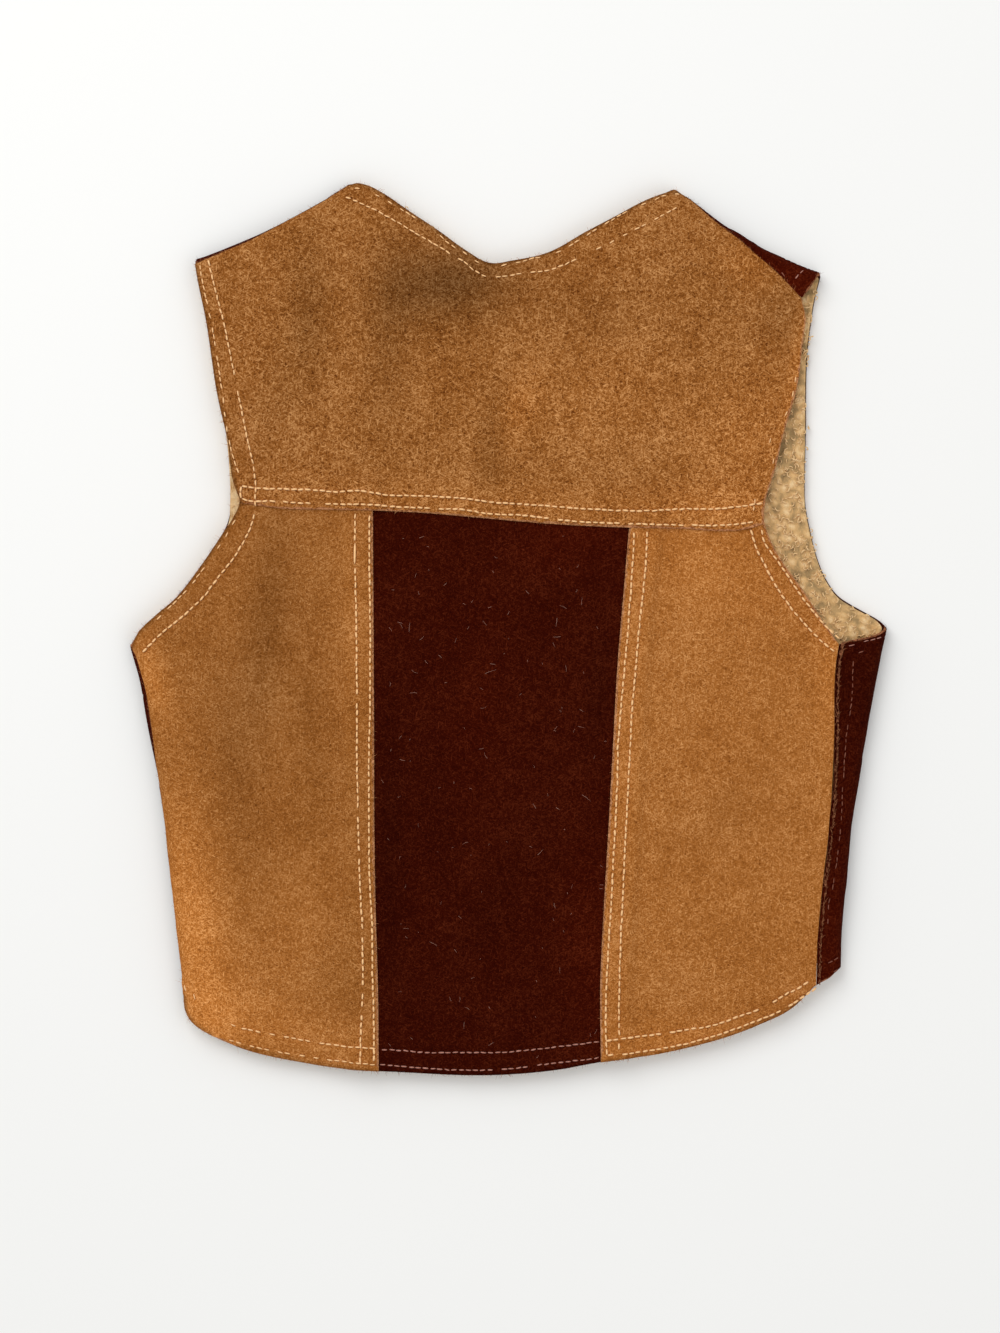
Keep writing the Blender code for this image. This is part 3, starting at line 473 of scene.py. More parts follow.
def soft_oval(row, x, y):
    """A row's amount times e to the power of minus the squares of its shares of reach, along and across."""
    middle_x, middle_y, long, wide, turn, amount = row
    turn = math.radians(turn)
    along = (x - middle_x) * math.cos(turn) + (y - middle_y) * math.sin(turn)
    aside = (y - middle_y) * math.cos(turn) - (x - middle_x) * math.sin(turn)
    return amount * np.exp(-((along / long) ** 2) - (aside / wide) ** 2)


def stack_height(x, y):
    """Height of the back above the ground: level in the middle, lower at sewn edges, with the creases."""
    at_edge = bell(np.min([distance_to(edge, x, y) for edge in FREE_EDGES], axis=0) / EDGE_DROP_WIDTH)
    height = STACK_HEIGHT - EDGE_DROP * at_edge
    for crease in CREASES:
        height = height + soft_oval(crease, x, y) * (1 - at_edge)
    return height


class Fold:
    """A rolled edge on one half of the vest: a half round along x at a side, or along y at a shoulder."""

    def __init__(self, table, axis, half):
        self.axis = axis
        self.half = half
        self.outward = half if axis == 0 else 1
        names = ("y", "x") if axis == 0 else ("x", "y")
        self.outline = by_table(table, *names)

    def start(self, points):
        """Where the roll begins, level with each point."""
        return self.outline(points[..., 1 - self.axis]) - self.outward * FOLD_REACH

    def beyond(self, points):
        """How far each point lies past the start of the roll; far short of it on the other half."""
        past = (points[..., self.axis] - self.start(points)) * self.outward
        return np.where(points[..., 0] * self.half > 0, past, np.minimum(past, -10 * FOLD_REACH))

    def moved(self, points, beyond):
        """The points at new distances past the start of the roll."""
        placed = np.array(points, float)
        placed[..., self.axis] = self.start(points) + self.outward * beyond
        return placed


LEFT_SIDE_FOLD = Fold(LEFT_SIDE, 0, -1)
RIGHT_SIDE_FOLD = Fold(RIGHT_SIDE, 0, 1)
LEFT_SHOULDER_FOLD = Fold(LEFT_SHOULDER, 1, -1)
RIGHT_SHOULDER_FOLD = Fold(RIGHT_SHOULDER, 1, 1)
HALF_TURN = math.pi * FOLD_REACH


def round_length(beyond):
    """Length of cloth from the start of a roll to a place seen at that distance past it."""
    on_roll = FOLD_REACH * np.arcsin(np.clip(beyond / FOLD_REACH, -1, 1))
    return np.where(beyond > 0, on_roll, beyond)


def back_cloth(points, fold, clear=SEAM_GAP / 2):
    """Places of the back seen from above, as flat cloth that ends short of the seam by the clearance."""
    points = np.array(points, float)
    return fold.moved(points, round_length(fold.beyond(points)) - clear)


def front_cloth_over(points, fold, clear=SEAM_GAP / 2):
    """Places where a front shows on top, as flat cloth measured round the roll from underneath."""
    points = np.array(points, float)
    return fold.moved(points, HALF_TURN - round_length(fold.beyond(points)) - clear)


def front_cloth_under(points, fold):
    """Places of a front that lie underneath, as flat cloth."""
    points = np.array(points, float)
    return fold.moved(points, round_length(fold.beyond(points)))


def on_roll(points, fold, depth, turn, upward):
    """Cloth on a roll, an ellipse: the cosine of its turn is its height, and the sine how far out it lies."""
    foot = fold.moved(points, np.zeros_like(turn))
    half = stack_height(foot[..., 0], foot[..., 1]) / 2
    inside = 1 - depth / half
    rolled = np.concatenate([foot, (half + upward * half * inside * np.cos(turn))[..., None]], axis=-1)
    rolled[..., fold.axis] += fold.outward * FOLD_REACH * inside * np.sin(turn)
    return rolled


def lay_back(points, folds, depth, lap=None):
    """Lay flat cloth as a layer of the back, at a depth under its top face."""
    x, y = points[..., 0], points[..., 1]
    placed = np.stack([x, y, stack_height(x, y) - depth], axis=-1)
    if lap is not None:
        placed[..., 2] += LAP_STEP * lap(x, y)
    for fold in folds:
        beyond = fold.beyond(points)
        rolled = on_roll(points, fold, depth, beyond / FOLD_REACH, 1)
        placed = np.where((beyond > 0)[..., None], rolled, placed)
    return placed


def lay_front(points, folds, depth):
    """Lay flat cloth as a layer of a front: level, round the roll and level again on top."""
    level = np.full(points.shape[:-1], depth)
    placed = np.concatenate([points, level[..., None]], axis=-1)
    for fold in folds:
        beyond = fold.beyond(points)
        rolled = on_roll(points, fold, depth, np.clip(beyond / FOLD_REACH, 0, math.pi), -1)
        past = np.maximum(beyond - HALF_TURN, 0)
        rolled[..., fold.axis] -= fold.outward * past
        on_top = stack_height(rolled[..., 0], rolled[..., 1]) - depth
        rolled[..., 2] = np.where(past > 0, on_top, rolled[..., 2])
        placed = np.where((beyond > 0)[..., None], rolled, placed)
    return placed


def smooth_step(value):
    """0 to 1 with level ends: three squares less two cubes of the clipped value."""
    value = np.clip(value, 0, 1)
    return value * value * (3 - 2 * value)


def lap_height(away, lap):
    """1 over the hidden edge of the piece below, falling to 0 past it."""
    return 1 - smooth_step((away - lap - LAP_MARGIN) / LAP_RAMP)


def height_along(points):
    """y by x along an edge that runs from left to right."""
    x, y = zip(*points)
    return by_table({"x": x, "y": y}, "x", "y")


centre_edge_left = by_table(CENTRE_EDGE_LEFT, "y", "x")
centre_edge_right = by_table(CENTRE_EDGE_RIGHT, "y", "x")
yoke_edge = height_along(YOKE_LOWER_EDGE)
hem_edge = height_along(HEM)


def left_panel_lap(x, y):
    """The left panel climbs over the centre one."""
    return lap_height(centre_edge_left(y) - x, SIDE_LAP)


def right_panel_lap(x, y):
    """The right panel climbs over the centre one."""
    return lap_height(x - centre_edge_right(y), SIDE_LAP)


def yoke_lap(x, y):
    """The yoke climbs over the panels, and twice where a side panel laps the centre one."""
    over_panels = lap_height(y - yoke_edge(x), YOKE_LAP)
    doubled = np.zeros_like(x)
    for middle in (CENTRE_EDGE_LEFT["x"][-1] - SIDE_LAP / 2, CENTRE_EDGE_RIGHT["x"][-1] + SIDE_LAP / 2):
        doubled = doubled + lap_height(np.abs(x - middle), SIDE_LAP / 2)
    return over_panels * (1 + doubled)


def shoulder_seam_left():
    """The left shoulder seam of the back, from the tip to the neck; it lies on the roll."""
    x = np.linspace(YOKE_LEFT_ARMHOLE[-1][0], NECKLINE[0][0], 7)
    points = np.stack([x, np.zeros_like(x)], axis=-1)
    return LEFT_SHOULDER_FOLD.moved(points, np.linspace(*LEFT_SHOULDER_TURN, 7) - SEAM_GAP / 2)


def shoulder_seam_right():
    """The right shoulder seam of the back, from the neck to the tip."""
    return back_cloth(RIGHT_SHOULDER_SEAM, RIGHT_SHOULDER_FOLD)


def neck_edge():
    """The back's neckline between the two shoulder seams."""
    inner = np.array(NECKLINE[1:-1], float)
    on_left = back_cloth(inner, LEFT_SHOULDER_FOLD, 0)
    on_right = back_cloth(inner, RIGHT_SHOULDER_FOLD, 0)
    inner = np.where(inner[:, :1] < 0, on_left, on_right)
    return np.concatenate([shoulder_seam_left()[-1:], inner, shoulder_seam_right()[:1]])


def side_seam_left(clear=SEAM_GAP / 2):
    """The left side seam of the back, from the hem to the underarm; it lies on the roll."""
    turn = by_table(LEFT_SEAM_TURN, "y", "along")
    y = np.append(np.linspace(LEFT_HEM_CORNER[0][1], PANEL_LEFT_ARMHOLE[0][1], 9)[:-1], (-16, -12, -9))
    points = np.stack([np.zeros_like(y), y], axis=-1)
    return LEFT_SIDE_FOLD.moved(points, turn(y) - clear)


def side_seam_right():
    """The right side seam of the back, from the hem to the underarm; it lies flat on top."""
    return back_cloth(RIGHT_SIDE_SEAM, RIGHT_SIDE_FOLD)


def hem_between(low_x, high_x):
    """The hem's points between two places, with its own height at both."""
    inner = [point for point in HEM if low_x + HEM_SPACING < point[0] < high_x - HEM_SPACING]
    return [(low_x, float(hem_edge(low_x))), *inner, (high_x, float(hem_edge(high_x)))]


def left_hem_start():
    """The hem's rounded corner at the left side, from the seam."""
    corner = back_cloth(LEFT_HEM_CORNER[1:], LEFT_SIDE_FOLD, 0)
    return [side_seam_left()[0], *corner]


def front_right_sides():
    """Sides of the right front as flat cloth, from the centre front to the side seam."""
    seam = front_cloth_over(RIGHT_SIDE_SEAM, RIGHT_SIDE_FOLD)
    strip_top = front_cloth_over(((165.6, -3.6), (157.5, -5.2), (153.4, -6.5)), RIGHT_SIDE_FOLD, 0)
    side_turn = front_cloth_under(((174.8, 0.9),), RIGHT_SIDE_FOLD)
    under = front_cloth_under(FRONT_RIGHT_ARMHOLE[::-1], RIGHT_SIDE_FOLD)
    shoulder_turn = front_cloth_under(((144, 164.6),), RIGHT_SHOULDER_FOLD)
    tip = front_cloth_over(((139.5, 158.4),), RIGHT_SHOULDER_FOLD, 0)
    shoulder = front_cloth_over(RIGHT_SHOULDER_SEAM, RIGHT_SHOULDER_FOLD)
    armhole = [shoulder[-1], *tip, *shoulder_turn, *under, *side_turn, *strip_top, seam[-1]]
    corner = (FRONT_GAP, FRONT_HEM[0][1])
    bottom = Edge([corner, *FRONT_HEM[1:], (150, -154), seam[0]])
    middle = Edge([corner, (FRONT_GAP, FRONT_OPENING_BASE)], [*FRONT_RIGHT_NECK, shoulder[0]])
    return bottom, Edge(shoulder, armhole), middle, Edge(seam)


def front_left_sides():
    """Sides of the left front as flat cloth, from the centre front to the side seam."""
    seam = side_seam_left(0)
    seam = LEFT_SIDE_FOLD.moved(seam, HALF_TURN - LEFT_SIDE_FOLD.beyond(seam) - SEAM_GAP / 2)
    shoulder = shoulder_seam_left()[::-1]
    past = LEFT_SHOULDER_FOLD.beyond(shoulder)
    shoulder = LEFT_SHOULDER_FOLD.moved(shoulder, HALF_TURN - past - SEAM_GAP)
    side_turn = front_cloth_under(((-171.6, -0.8), (-173.8, -5.2)), LEFT_SIDE_FOLD)
    armhole = [shoulder[-1], *FRONT_LEFT_ARMHOLE[::-1], *side_turn, seam[-1]]
    hem = [(-x, y) for x, y in FRONT_HEM[1:]]
    corner = (-FRONT_GAP, FRONT_HEM[0][1])
    bottom = Edge([corner, *hem, (-148, -160), seam[0]])
    middle = Edge([corner, (-FRONT_GAP, FRONT_OPENING_BASE)], [*FRONT_LEFT_NECK, shoulder[0]])
    return bottom, Edge(shoulder, armhole), middle, Edge(seam)


def lining_thickness(points, placed, folds):
    """The lining fills its half of the stack, and leaves a narrow hollow along the middle of each roll."""
    thickness = stack_height(placed[..., 0], placed[..., 1]) / 2 - SUEDE - LINING_CLEARANCE * 1.5
    for fold in folds:
        thickness = thickness - LINING_FOLD_SLACK * smooth_step(fold.beyond(points) / FOLD_REACH + 1)
    return thickness


def ripple(x, y, wavelength, seed):
    """Uneven waves: the sum of plane waves near one length, in fixed random directions."""
    draw = np.random.default_rng(seed)
    turn, start = draw.uniform(0, 2 * math.pi, (2, 14))
    pace = 2 * math.pi / (wavelength * draw.uniform(0.7, 1.4, 14))
    x, y = np.asarray(x)[..., None], np.asarray(y)[..., None]
    return np.sin((x * np.cos(turn) + y * np.sin(turn)) * pace + start).sum(axis=-1) / math.sqrt(7)


def relief(x, y, piece):
    """Heights on a suede face: uneven hide, a groove along each row of stitches, puckers beside it."""
    height = HIDE_WAVE * ripple(x, y, 38, 1) + 0.4 * HIDE_WAVE * ripple(x, y, 15, 2)
    pucker = ripple(x, y, PUCKER_LENGTH, 3)
    for row in STITCH_ROWS:
        if row["piece"] == piece:
            away = distance_to(row["points"], x, y)
            height = height - GROOVE_DEPTH * (0.4 + 0.6 * row["shown"]) * bell(away / GROOVE_WIDTH)
            height = height + PUCKER_HEIGHT * pucker * bell(away / PUCKER_REACH)
    return height


def tone(x, y, piece):
    """Share of a suede's own colour: the piece's own, with soft nap patches and painted shade and light of
    creases.
    """
    value = np.full_like(x, PIECE_TONES[piece])
    for row in TONES_AND_PAINTED_SHADE[piece]:
        value = value + soft_oval(row, x, y)
    return value


def fine_grid(sides, step, inset=0.0):
    """Even grid over a four-sided piece: its sides blended across and up, less the blend of its corners."""
    bottom, top, left, right = sides
    columns = math.ceil(max(sum(bottom.lengths), sum(top.lengths)) / step) + 1
    rows = math.ceil(max(sum(left.lengths), sum(right.lengths)) / step) + 1
    across, up = np.meshgrid(np.linspace(inset, 1 - inset, columns), np.linspace(inset, 1 - inset, rows))
    share_x, share_y = across[..., None], up[..., None]
    blend = (1 - share_y) * bottom(across) + share_y * top(across)
    blend += (1 - share_x) * left(up) + share_x * right(up)
    low = (1 - share_x) * bottom(0.0) + share_x * bottom(1.0)
    high = (1 - share_x) * top(0.0) + share_x * top(1.0)
    return blend - (1 - share_y) * low - share_y * high


def sewn_lines():
    """The side and shoulder seams as seen from above, where no cut edge shows."""
    left_side = lay_back(side_seam_left(0), (LEFT_SIDE_FOLD,), 0.0)[:, :2]
    left_shoulder = lay_back(shoulder_seam_left(), (LEFT_SHOULDER_FOLD,), 0.0)[:, :2]
    return RIGHT_SIDE_SEAM, RIGHT_SHOULDER_SEAM, left_side, left_shoulder


# Edges that are turned, so that no pale cut shows from above, and that get painted shade in their last
# millimetre
TURNED_SHADED_EDGES = (NECKLINE, YOKE_LEFT_ARMHOLE, PANEL_LEFT_ARMHOLE, LEFT_HEM_CORNER, HEM)


def rim_shade(x, y):
    """Share of a suede's colour kept by its turned outer edges: painted shade in the last millimetre."""
    from_edge = np.min([distance_to(edge, x, y) for edge in TURNED_SHADED_EDGES], axis=0)
    return 1 - RIM_SHADE * bell(from_edge / RIM_WIDTH)


def unit(ways):
    """Vectors of length 1 along the given ones."""
    return ways / np.maximum(np.linalg.norm(ways, axis=-1, keepdims=True), TINY)


def slanted(outer, slope):
    """The outer face with its border drawn in unevenly, so that the cut edge below it shows from above."""
    x, y = outer[..., 0], outer[..., 1]
    from_seams = np.min([distance_to(seam, x, y) for seam in (*sewn_lines(), *TURNED_SHADED_EDGES)], axis=0)
    slope = slope * (1 + 0.3 * ripple(x, y, 4, 8)) * smooth_step(from_seams / 2 - 0.5)
    slope = slope[..., None]
    drawn = outer.copy()
    for edge, inner in ((0, 1), (-1, -2)):
        for face, source in ((drawn, outer), (drawn.swapaxes(0, 1), outer.swapaxes(0, 1))):
            reach = slope[edge] if source is outer else slope[:, edge]
            face[edge] += reach * unit(source[inner] - source[edge])
    return drawn


def quad_mesh(name, places, faces, slots, materials, tone_and_shade_values=None):
    """Mesh of four-sided faces from whole arrays of places in millimetres, with an optional tone and painted
    shade.
    """
    mesh = bpy.data.meshes.new(name)
    mesh.vertices.add(len(places))
    mesh.vertices.foreach_set("co", ((places - LAID_MIDDLE) * MM).astype(np.float32).ravel())
    mesh.loops.add(faces.size)
    mesh.loops.foreach_set("vertex_index", faces.astype(np.int32).ravel())
    mesh.polygons.add(len(faces))
    mesh.polygons.foreach_set("loop_start", np.arange(0, faces.size, 4, dtype=np.int32))
    mesh.polygons.foreach_set("material_index", np.broadcast_to(slots, len(faces)).astype(np.int32))
    mesh.polygons.foreach_set("use_smooth", np.ones(len(faces), dtype=bool))
    for material in materials:
        mesh.materials.append(material)
    if tone_and_shade_values is not None:
        attribute = mesh.attributes.new("tone", "FLOAT", "POINT")
        attribute.data.foreach_set("value", tone_and_shade_values.astype(np.float32).ravel())
    mesh.update(calc_edges=True)
    piece = bpy.data.objects.new(name, mesh)
    bpy.context.scene.collection.objects.link(piece)
    return piece


def wall(name, outer, inner, facing_up, materials, tone_and_shade_values):
    """Closed wall between two grids: both faces, and a rim round the border in the second material."""
    rows, columns = outer.shape[:2]
    count = rows * columns
    corner = np.arange(count).reshape(rows, columns)
    face = np.stack([corner[:-1, :-1], corner[:-1, 1:], corner[1:, 1:], corner[1:, :-1]], axis=-1)
    face = face.reshape(-1, 4)
    loop = np.concatenate([corner[0, :-1], corner[:-1, -1], corner[-1, :0:-1], corner[:0:-1, 0]])
    following = np.roll(loop, -1)
    rim = np.stack([loop, loop + count, following + count, following], axis=-1)
    faces = np.concatenate([face, face[:, ::-1] + count, rim])
    if not facing_up:
        faces = faces[:, ::-1]
    slots = np.zeros(len(faces), dtype=np.int32)
    slots[2 * len(face):] = 1
    places = np.concatenate([outer.reshape(-1, 3), inner.reshape(-1, 3)])
    piece = quad_mesh(name, places, faces, slots, materials, np.concatenate([tone_and_shade_values.ravel(), tone_and_shade_values.ravel()]))
    piece.data.set_sharp_from_angle(angle=math.radians(50))
    return piece


def tubes(paths, radii, ups):
    """Closed four-sided tubes along many paths at once; radii and the upward directions go by station."""
    ways = unit(np.gradient(paths, axis=1))
    asides = unit(np.cross(ups, ways))
    ups = np.cross(ways, asides)
    angles = np.arange(4) * math.pi / 2 + math.pi / 4
    ring = asides[:, :, None] * np.cos(angles)[:, None] + ups[:, :, None] * np.sin(angles)[:, None]
    places = paths[:, :, None] + radii[..., None, None] * ring
    number, stations = paths.shape[:2]
    index = np.arange(number * stations * 4).reshape(number, stations, 4)
    after = np.roll(index, -1, axis=2)
    sides = np.stack([index[:, :-1], after[:, :-1], after[:, 1:], index[:, 1:]], axis=-1).reshape(-1, 4)
    faces = np.concatenate([sides, index[:, 0, ::-1], index[:, -1]])
    return places.reshape(-1, 3), faces


def many(name, bunches, material):
    """One piece from several bunches of tubes."""
    places, faces, start = [], [], 0
    for bunch_places, bunch_faces in bunches:
        places.append(bunch_places)
        faces.append(bunch_faces + start)
        start += len(bunch_places)
    return quad_mesh(name, np.concatenate(places), np.concatenate(faces), 0, [material])


SHOULDERS = (LEFT_SHOULDER_FOLD, RIGHT_SHOULDER_FOLD)

# Where each piece's outer face lies: its folds, the lap that it climbs, and if it comes over from below
SURFACES = {
    "yoke": {"folds": SHOULDERS, "lap": yoke_lap, "over": False},
    "left": {"folds": (LEFT_SIDE_FOLD,), "lap": left_panel_lap, "over": False},
    "centre": {"folds": (), "lap": None, "over": False},
    "right": {"folds": (RIGHT_SIDE_FOLD,), "lap": right_panel_lap, "over": False},
    "strip": {"folds": (RIGHT_SIDE_FOLD,), "lap": None, "over": True},
    "tip": {"folds": (RIGHT_SHOULDER_FOLD,), "lap": None, "over": True},
}


def on_face(spots, piece, lift):
    """Places on a piece's outer face under spots seen from above, raised by lift."""
    surface = SURFACES[piece]
    depth = -(relief(spots[..., 0], spots[..., 1], piece) + lift)
    if surface["over"]:
        return lay_front(front_cloth_over(spots, surface["folds"][0], 0), surface["folds"], depth)
    cloth = spots
    for fold in surface["folds"]:
        near = fold.beyond(spots) > -2 * FOLD_REACH
        cloth = np.where(near[..., None], back_cloth(spots, fold, 0), cloth)
    return lay_back(cloth, surface["folds"], depth, surface["lap"])


def stitches(row, sizes, seed):
    """One row: a capsule every stitch, its middle proud of the groove and its ends sunk in."""
    draw = np.random.default_rng(seed)
    line = curve(row["points"])
    steps = np.diff(np.array(row["points"], float), axis=0)
    length = np.linalg.norm(steps, axis=1).sum()
    pitch = row.get("pitch", sizes.stitch_pitch / MM)
    count = max(int(round(length / pitch)), 1)
    middle = (np.arange(count) + 0.5) * length / count + draw.normal(0, 0.04, count) * pitch
    middle = middle[draw.random(count) < row["shown"]]
    count = len(middle)
    station = np.array([-1, -0.72, 0, 0.72, 1])
    half = pitch * STITCH_HALF * draw.uniform(0.85, 1.08, count)[:, None]
    along = np.clip((middle[:, None] + station * half) / length, 0, 1)
    spots = line(along)
    drift = draw.normal(0, 0.07, (count, 1)) + station * draw.normal(0, 0.09, (count, 1))
    across = unit(np.gradient(spots, axis=1)[..., ::-1] * (-1, 1))
    spots = spots + across * drift[..., None]
    base = on_face(spots, row["piece"], 0.0)
    ups = unit(on_face(spots, row["piece"], 0.2) - base)
    radius = sizes.thread_width / MM / 2 * row.get("width", THREAD_SHARES[row["piece"]])
    lift = radius * (1.15 - 1.2 * station ** 4) * (0.55 + 0.45 * row["shown"])
    paths = base + ups * (lift + draw.normal(0, 0.05, (count, 1)))[..., None]
    radii = radius * np.array([0.35, 0.85, 1.0, 0.85, 0.35]) * draw.uniform(0.85, 1.15, (count, 1))
    return tubes(paths, radii, ups)


def fibres(spots, ways, lengths, radius, seed):
    """Short bent hairs from spots along ways: straight lines pulled sideways by a quadratic bend."""
    draw = np.random.default_rng(seed)
    share = np.linspace(0, 1, 3)[None, :, None]
    bend = draw.normal(0, 0.35, (len(spots), 1, 3))
    paths = spots[:, None] + lengths[:, None, None] * (ways[:, None] * share + bend * share ** 2)
    paths[..., 2] = np.maximum(paths[..., 2], FLOOR_CLEARANCE)
    radii = radius * np.array([1.0, 0.8, 0.35]) * draw.uniform(0.7, 1.3, (len(spots), 1))
    ups = np.broadcast_to(np.array([0.13, 0.21, 1.0]), paths.shape)
    return tubes(paths, radii, ups)


def curls(spots, ups, size, seed):
    """Sherpa curls: loops of a little over half a turn that rise from each spot and come back."""
    draw = np.random.default_rng(seed)
    count = len(spots)
    aside = unit(np.cross(ups, draw.normal(0, 1, (count, 3))))
    forward = np.cross(aside, ups)
    tilt = draw.uniform(0.3, 1.1, (count, 1))
    rising = ups * np.cos(tilt) + forward * np.sin(tilt)
    angle = np.linspace(-0.15, 1.25, 7) * math.pi
    radius = size * draw.uniform(0.6, 1.2, (count, 1, 1))
    paths = spots[:, None] + radius * (
        aside[:, None] * np.cos(angle)[:, None] + rising[:, None] * (np.sin(angle) + 0.25)[:, None]
    )
    paths = paths + forward[:, None] * (radius * 0.5 * np.linspace(-1, 1, 7)[:, None])
    radii = 0.3 * radius[..., 0] * np.array([0.5, 0.9, 1.0, 1.0, 1.0, 0.9, 0.4])
    return tubes(paths, radii, np.broadcast_to(forward[:, None], paths.shape))


def border_fuzz(name, outer, sides, material, seed):
    """Hairs along the chosen sides of a cloth's outer face, about one every millimetre."""
    draw = np.random.default_rng(seed)
    lines = {"bottom": (outer[0], outer[2]), "top": (outer[-1], outer[-3]),
             "left": (outer[:, 0], outer[:, 2]), "right": (outer[:, -1], outer[:, -3])}
    spots, ways = [], []
    for side in sides:
        edge, inner = lines[side]
        length = np.linalg.norm(np.diff(edge, axis=0), axis=-1).sum()
        place = draw.uniform(0, len(edge) - 1.001, int(length / FUZZ_SPACING))
        low, part = place.astype(int), (place % 1)[:, None]
        spots.append(edge[low] * (1 - part) + edge[low + 1] * part)
        ways.append(unit(edge[low] - inner[low]))
    spots, ways = np.concatenate(spots), np.concatenate(ways)
    ways = ways * 0.8 + draw.normal(0, 0.6, ways.shape)
    spots = spots - ways * 0.1 + draw.normal(0, 0.15, spots.shape)
    return many(name, [fibres(spots, ways, draw.uniform(0.4, 1.3, len(spots)), 0.06, seed + 1)], material)


def grid_normals(grid):
    """Upward normals of a grid: the cross product of its two directions."""
    return unit(np.cross(np.gradient(grid, axis=1), np.gradient(grid, axis=0)))


def yoke_sides():
    """Sides of the back yoke as flat cloth."""
    bottom = Edge(YOKE_LOWER_EDGE)
    top = Edge(shoulder_seam_left(), neck_edge(), shoulder_seam_right())
    left = Edge([*YOKE_LEFT_ARMHOLE[:-1], shoulder_seam_left()[0]])
    right = Edge([*YOKE_RIGHT_ARMHOLE[:-1], shoulder_seam_right()[-1]])
    return bottom, top, left, right


def edge_up(centre_edge, start_y, top_y, shift=0.0):
    """A straight side up the centre panel's seam, moved sideways by shift."""
    y = start_y + (top_y + YOKE_LAP - start_y) * np.linspace(0, 1, 8)
    return Edge(np.stack([centre_edge(y) + shift, y], axis=-1))


def left_panel_sides():
    """Sides of the left side panel as flat cloth."""
    lap_x = CENTRE_EDGE_LEFT["x"][0]
    bottom = Edge([*left_hem_start(), *hem_between(HEM[0][0], lap_x)])
    left = Edge(side_seam_left(), [side_seam_left()[-1], *PANEL_LEFT_ARMHOLE[1:]])
    right = edge_up(centre_edge_left, bottom(1.0)[1], CENTRE_EDGE_LEFT["y"][-1])
    top = Edge([PANEL_LEFT_ARMHOLE[-1], (-95, 66), tuple(right(1.0))])
    return bottom, top, left, right


def centre_panel_sides():
    """Sides of the centre panel as flat cloth, with the laps that lie hidden."""
    bottom = Edge(hem_between(CENTRE_EDGE_LEFT["x"][0] - SIDE_LAP, CENTRE_EDGE_RIGHT["x"][0] + SIDE_LAP))
    left = edge_up(centre_edge_left, bottom(0.0)[1], CENTRE_EDGE_LEFT["y"][-1], -SIDE_LAP)
    right = edge_up(centre_edge_right, bottom(1.0)[1], CENTRE_EDGE_RIGHT["y"][-1], SIDE_LAP)
    return bottom, Edge([tuple(left(1.0)), (0, 60.4), tuple(right(1.0))]), left, right


def right_panel_sides():
    """Sides of the right side panel as flat cloth."""
    seam = side_seam_right()
    bottom = Edge([*hem_between(CENTRE_EDGE_RIGHT["x"][0], HEM[-1][0])[:-1], seam[0]])
    right = Edge(seam, [seam[-1], *PANEL_RIGHT_ARMHOLE[1:]])
    left = edge_up(centre_edge_right, bottom(0.0)[1], CENTRE_EDGE_RIGHT["y"][-1])
    top = Edge([tuple(left(1.0)), (88, 57), PANEL_RIGHT_ARMHOLE[-1]])
    return bottom, top, left, right


def back_lining_sides():
    """Sides of the back's lining as flat cloth."""
    seam_left, seam_right = side_seam_left(), side_seam_right()
    bottom = Edge([*left_hem_start(), *HEM[:-1], seam_right[0]])
    top = Edge(shoulder_seam_left(), neck_edge(), shoulder_seam_right())
    armhole_left = [*PANEL_LEFT_ARMHOLE[1:-1], *YOKE_LEFT_ARMHOLE[1:-1], shoulder_seam_left()[0]]
    armhole_right = [*PANEL_RIGHT_ARMHOLE[1:-1], *YOKE_RIGHT_ARMHOLE[2:-1], shoulder_seam_right()[-1]]
    left = Edge(seam_left, [seam_left[-1], *armhole_left])
    return bottom, top, left, Edge(seam_right, [seam_right[-1], *armhole_right])


BACK_PIECES = (
    {"node": "back_yoke", "piece": "yoke", "sides": yoke_sides, "finish": "yoke",
     "cut": ("bottom", "top", "left", "right")},
    {"node": "back_panel_left", "piece": "left", "sides": left_panel_sides, "finish": "tan",
     "cut": ("bottom", "left", "right")},
    {"node": "back_panel_right", "piece": "right", "sides": right_panel_sides, "finish": "tan",
     "cut": ("bottom", "left", "right")},
    {"node": "back_panel_centre", "piece": "centre", "sides": centre_panel_sides, "finish": "dark",
     "cut": ("bottom",)},
)

# step_share and pile_share coarsen or refine the grids; inset is how far the lining ends inside the suede
FRONTS = (
    {"node": "front_left", "lining": "lining_front_left", "sides": front_left_sides, "facing_up": True,
     "cut": ("top",), "step_share": 1.5, "pile_share": 1.0, "inset": 3.0,
     "folds": (LEFT_SIDE_FOLD, LEFT_SHOULDER_FOLD)},
    {"node": "front_right", "lining": "lining_front_right", "sides": front_right_sides, "facing_up": False,
     "cut": ("top",), "step_share": 1.0, "pile_share": 0.58, "inset": 0.9,
     "folds": (RIGHT_SIDE_FOLD, RIGHT_SHOULDER_FOLD)},
)


def linear(code):
    """Linear red, green and blue of an sRGB hex colour."""
    parts = np.array([int(code[start:start + 2], 16) for start in (1, 3, 5)]) / 255
    return tuple(np.where(parts <= 0.04045, parts / 12.92, ((parts + 0.055) / 1.055) ** 2.4).tolist())


def add_node(tree, kind, settings=None, **links):
    """A node of that kind, with its settings, and its sockets set to values or linked to other sockets."""
    node = tree.nodes.new(kind)
    for name, value in (settings or {}).items():
        setattr(node, name, value)
    for name, value in links.items():
        socket = node.inputs[int(name[1:])] if name[0] == "_" else node.inputs[name.replace("_", " ")]
        if isinstance(value, bpy.types.NodeSocket):
            tree.links.new(value, socket)
        else:
            socket.default_value = value
    return node


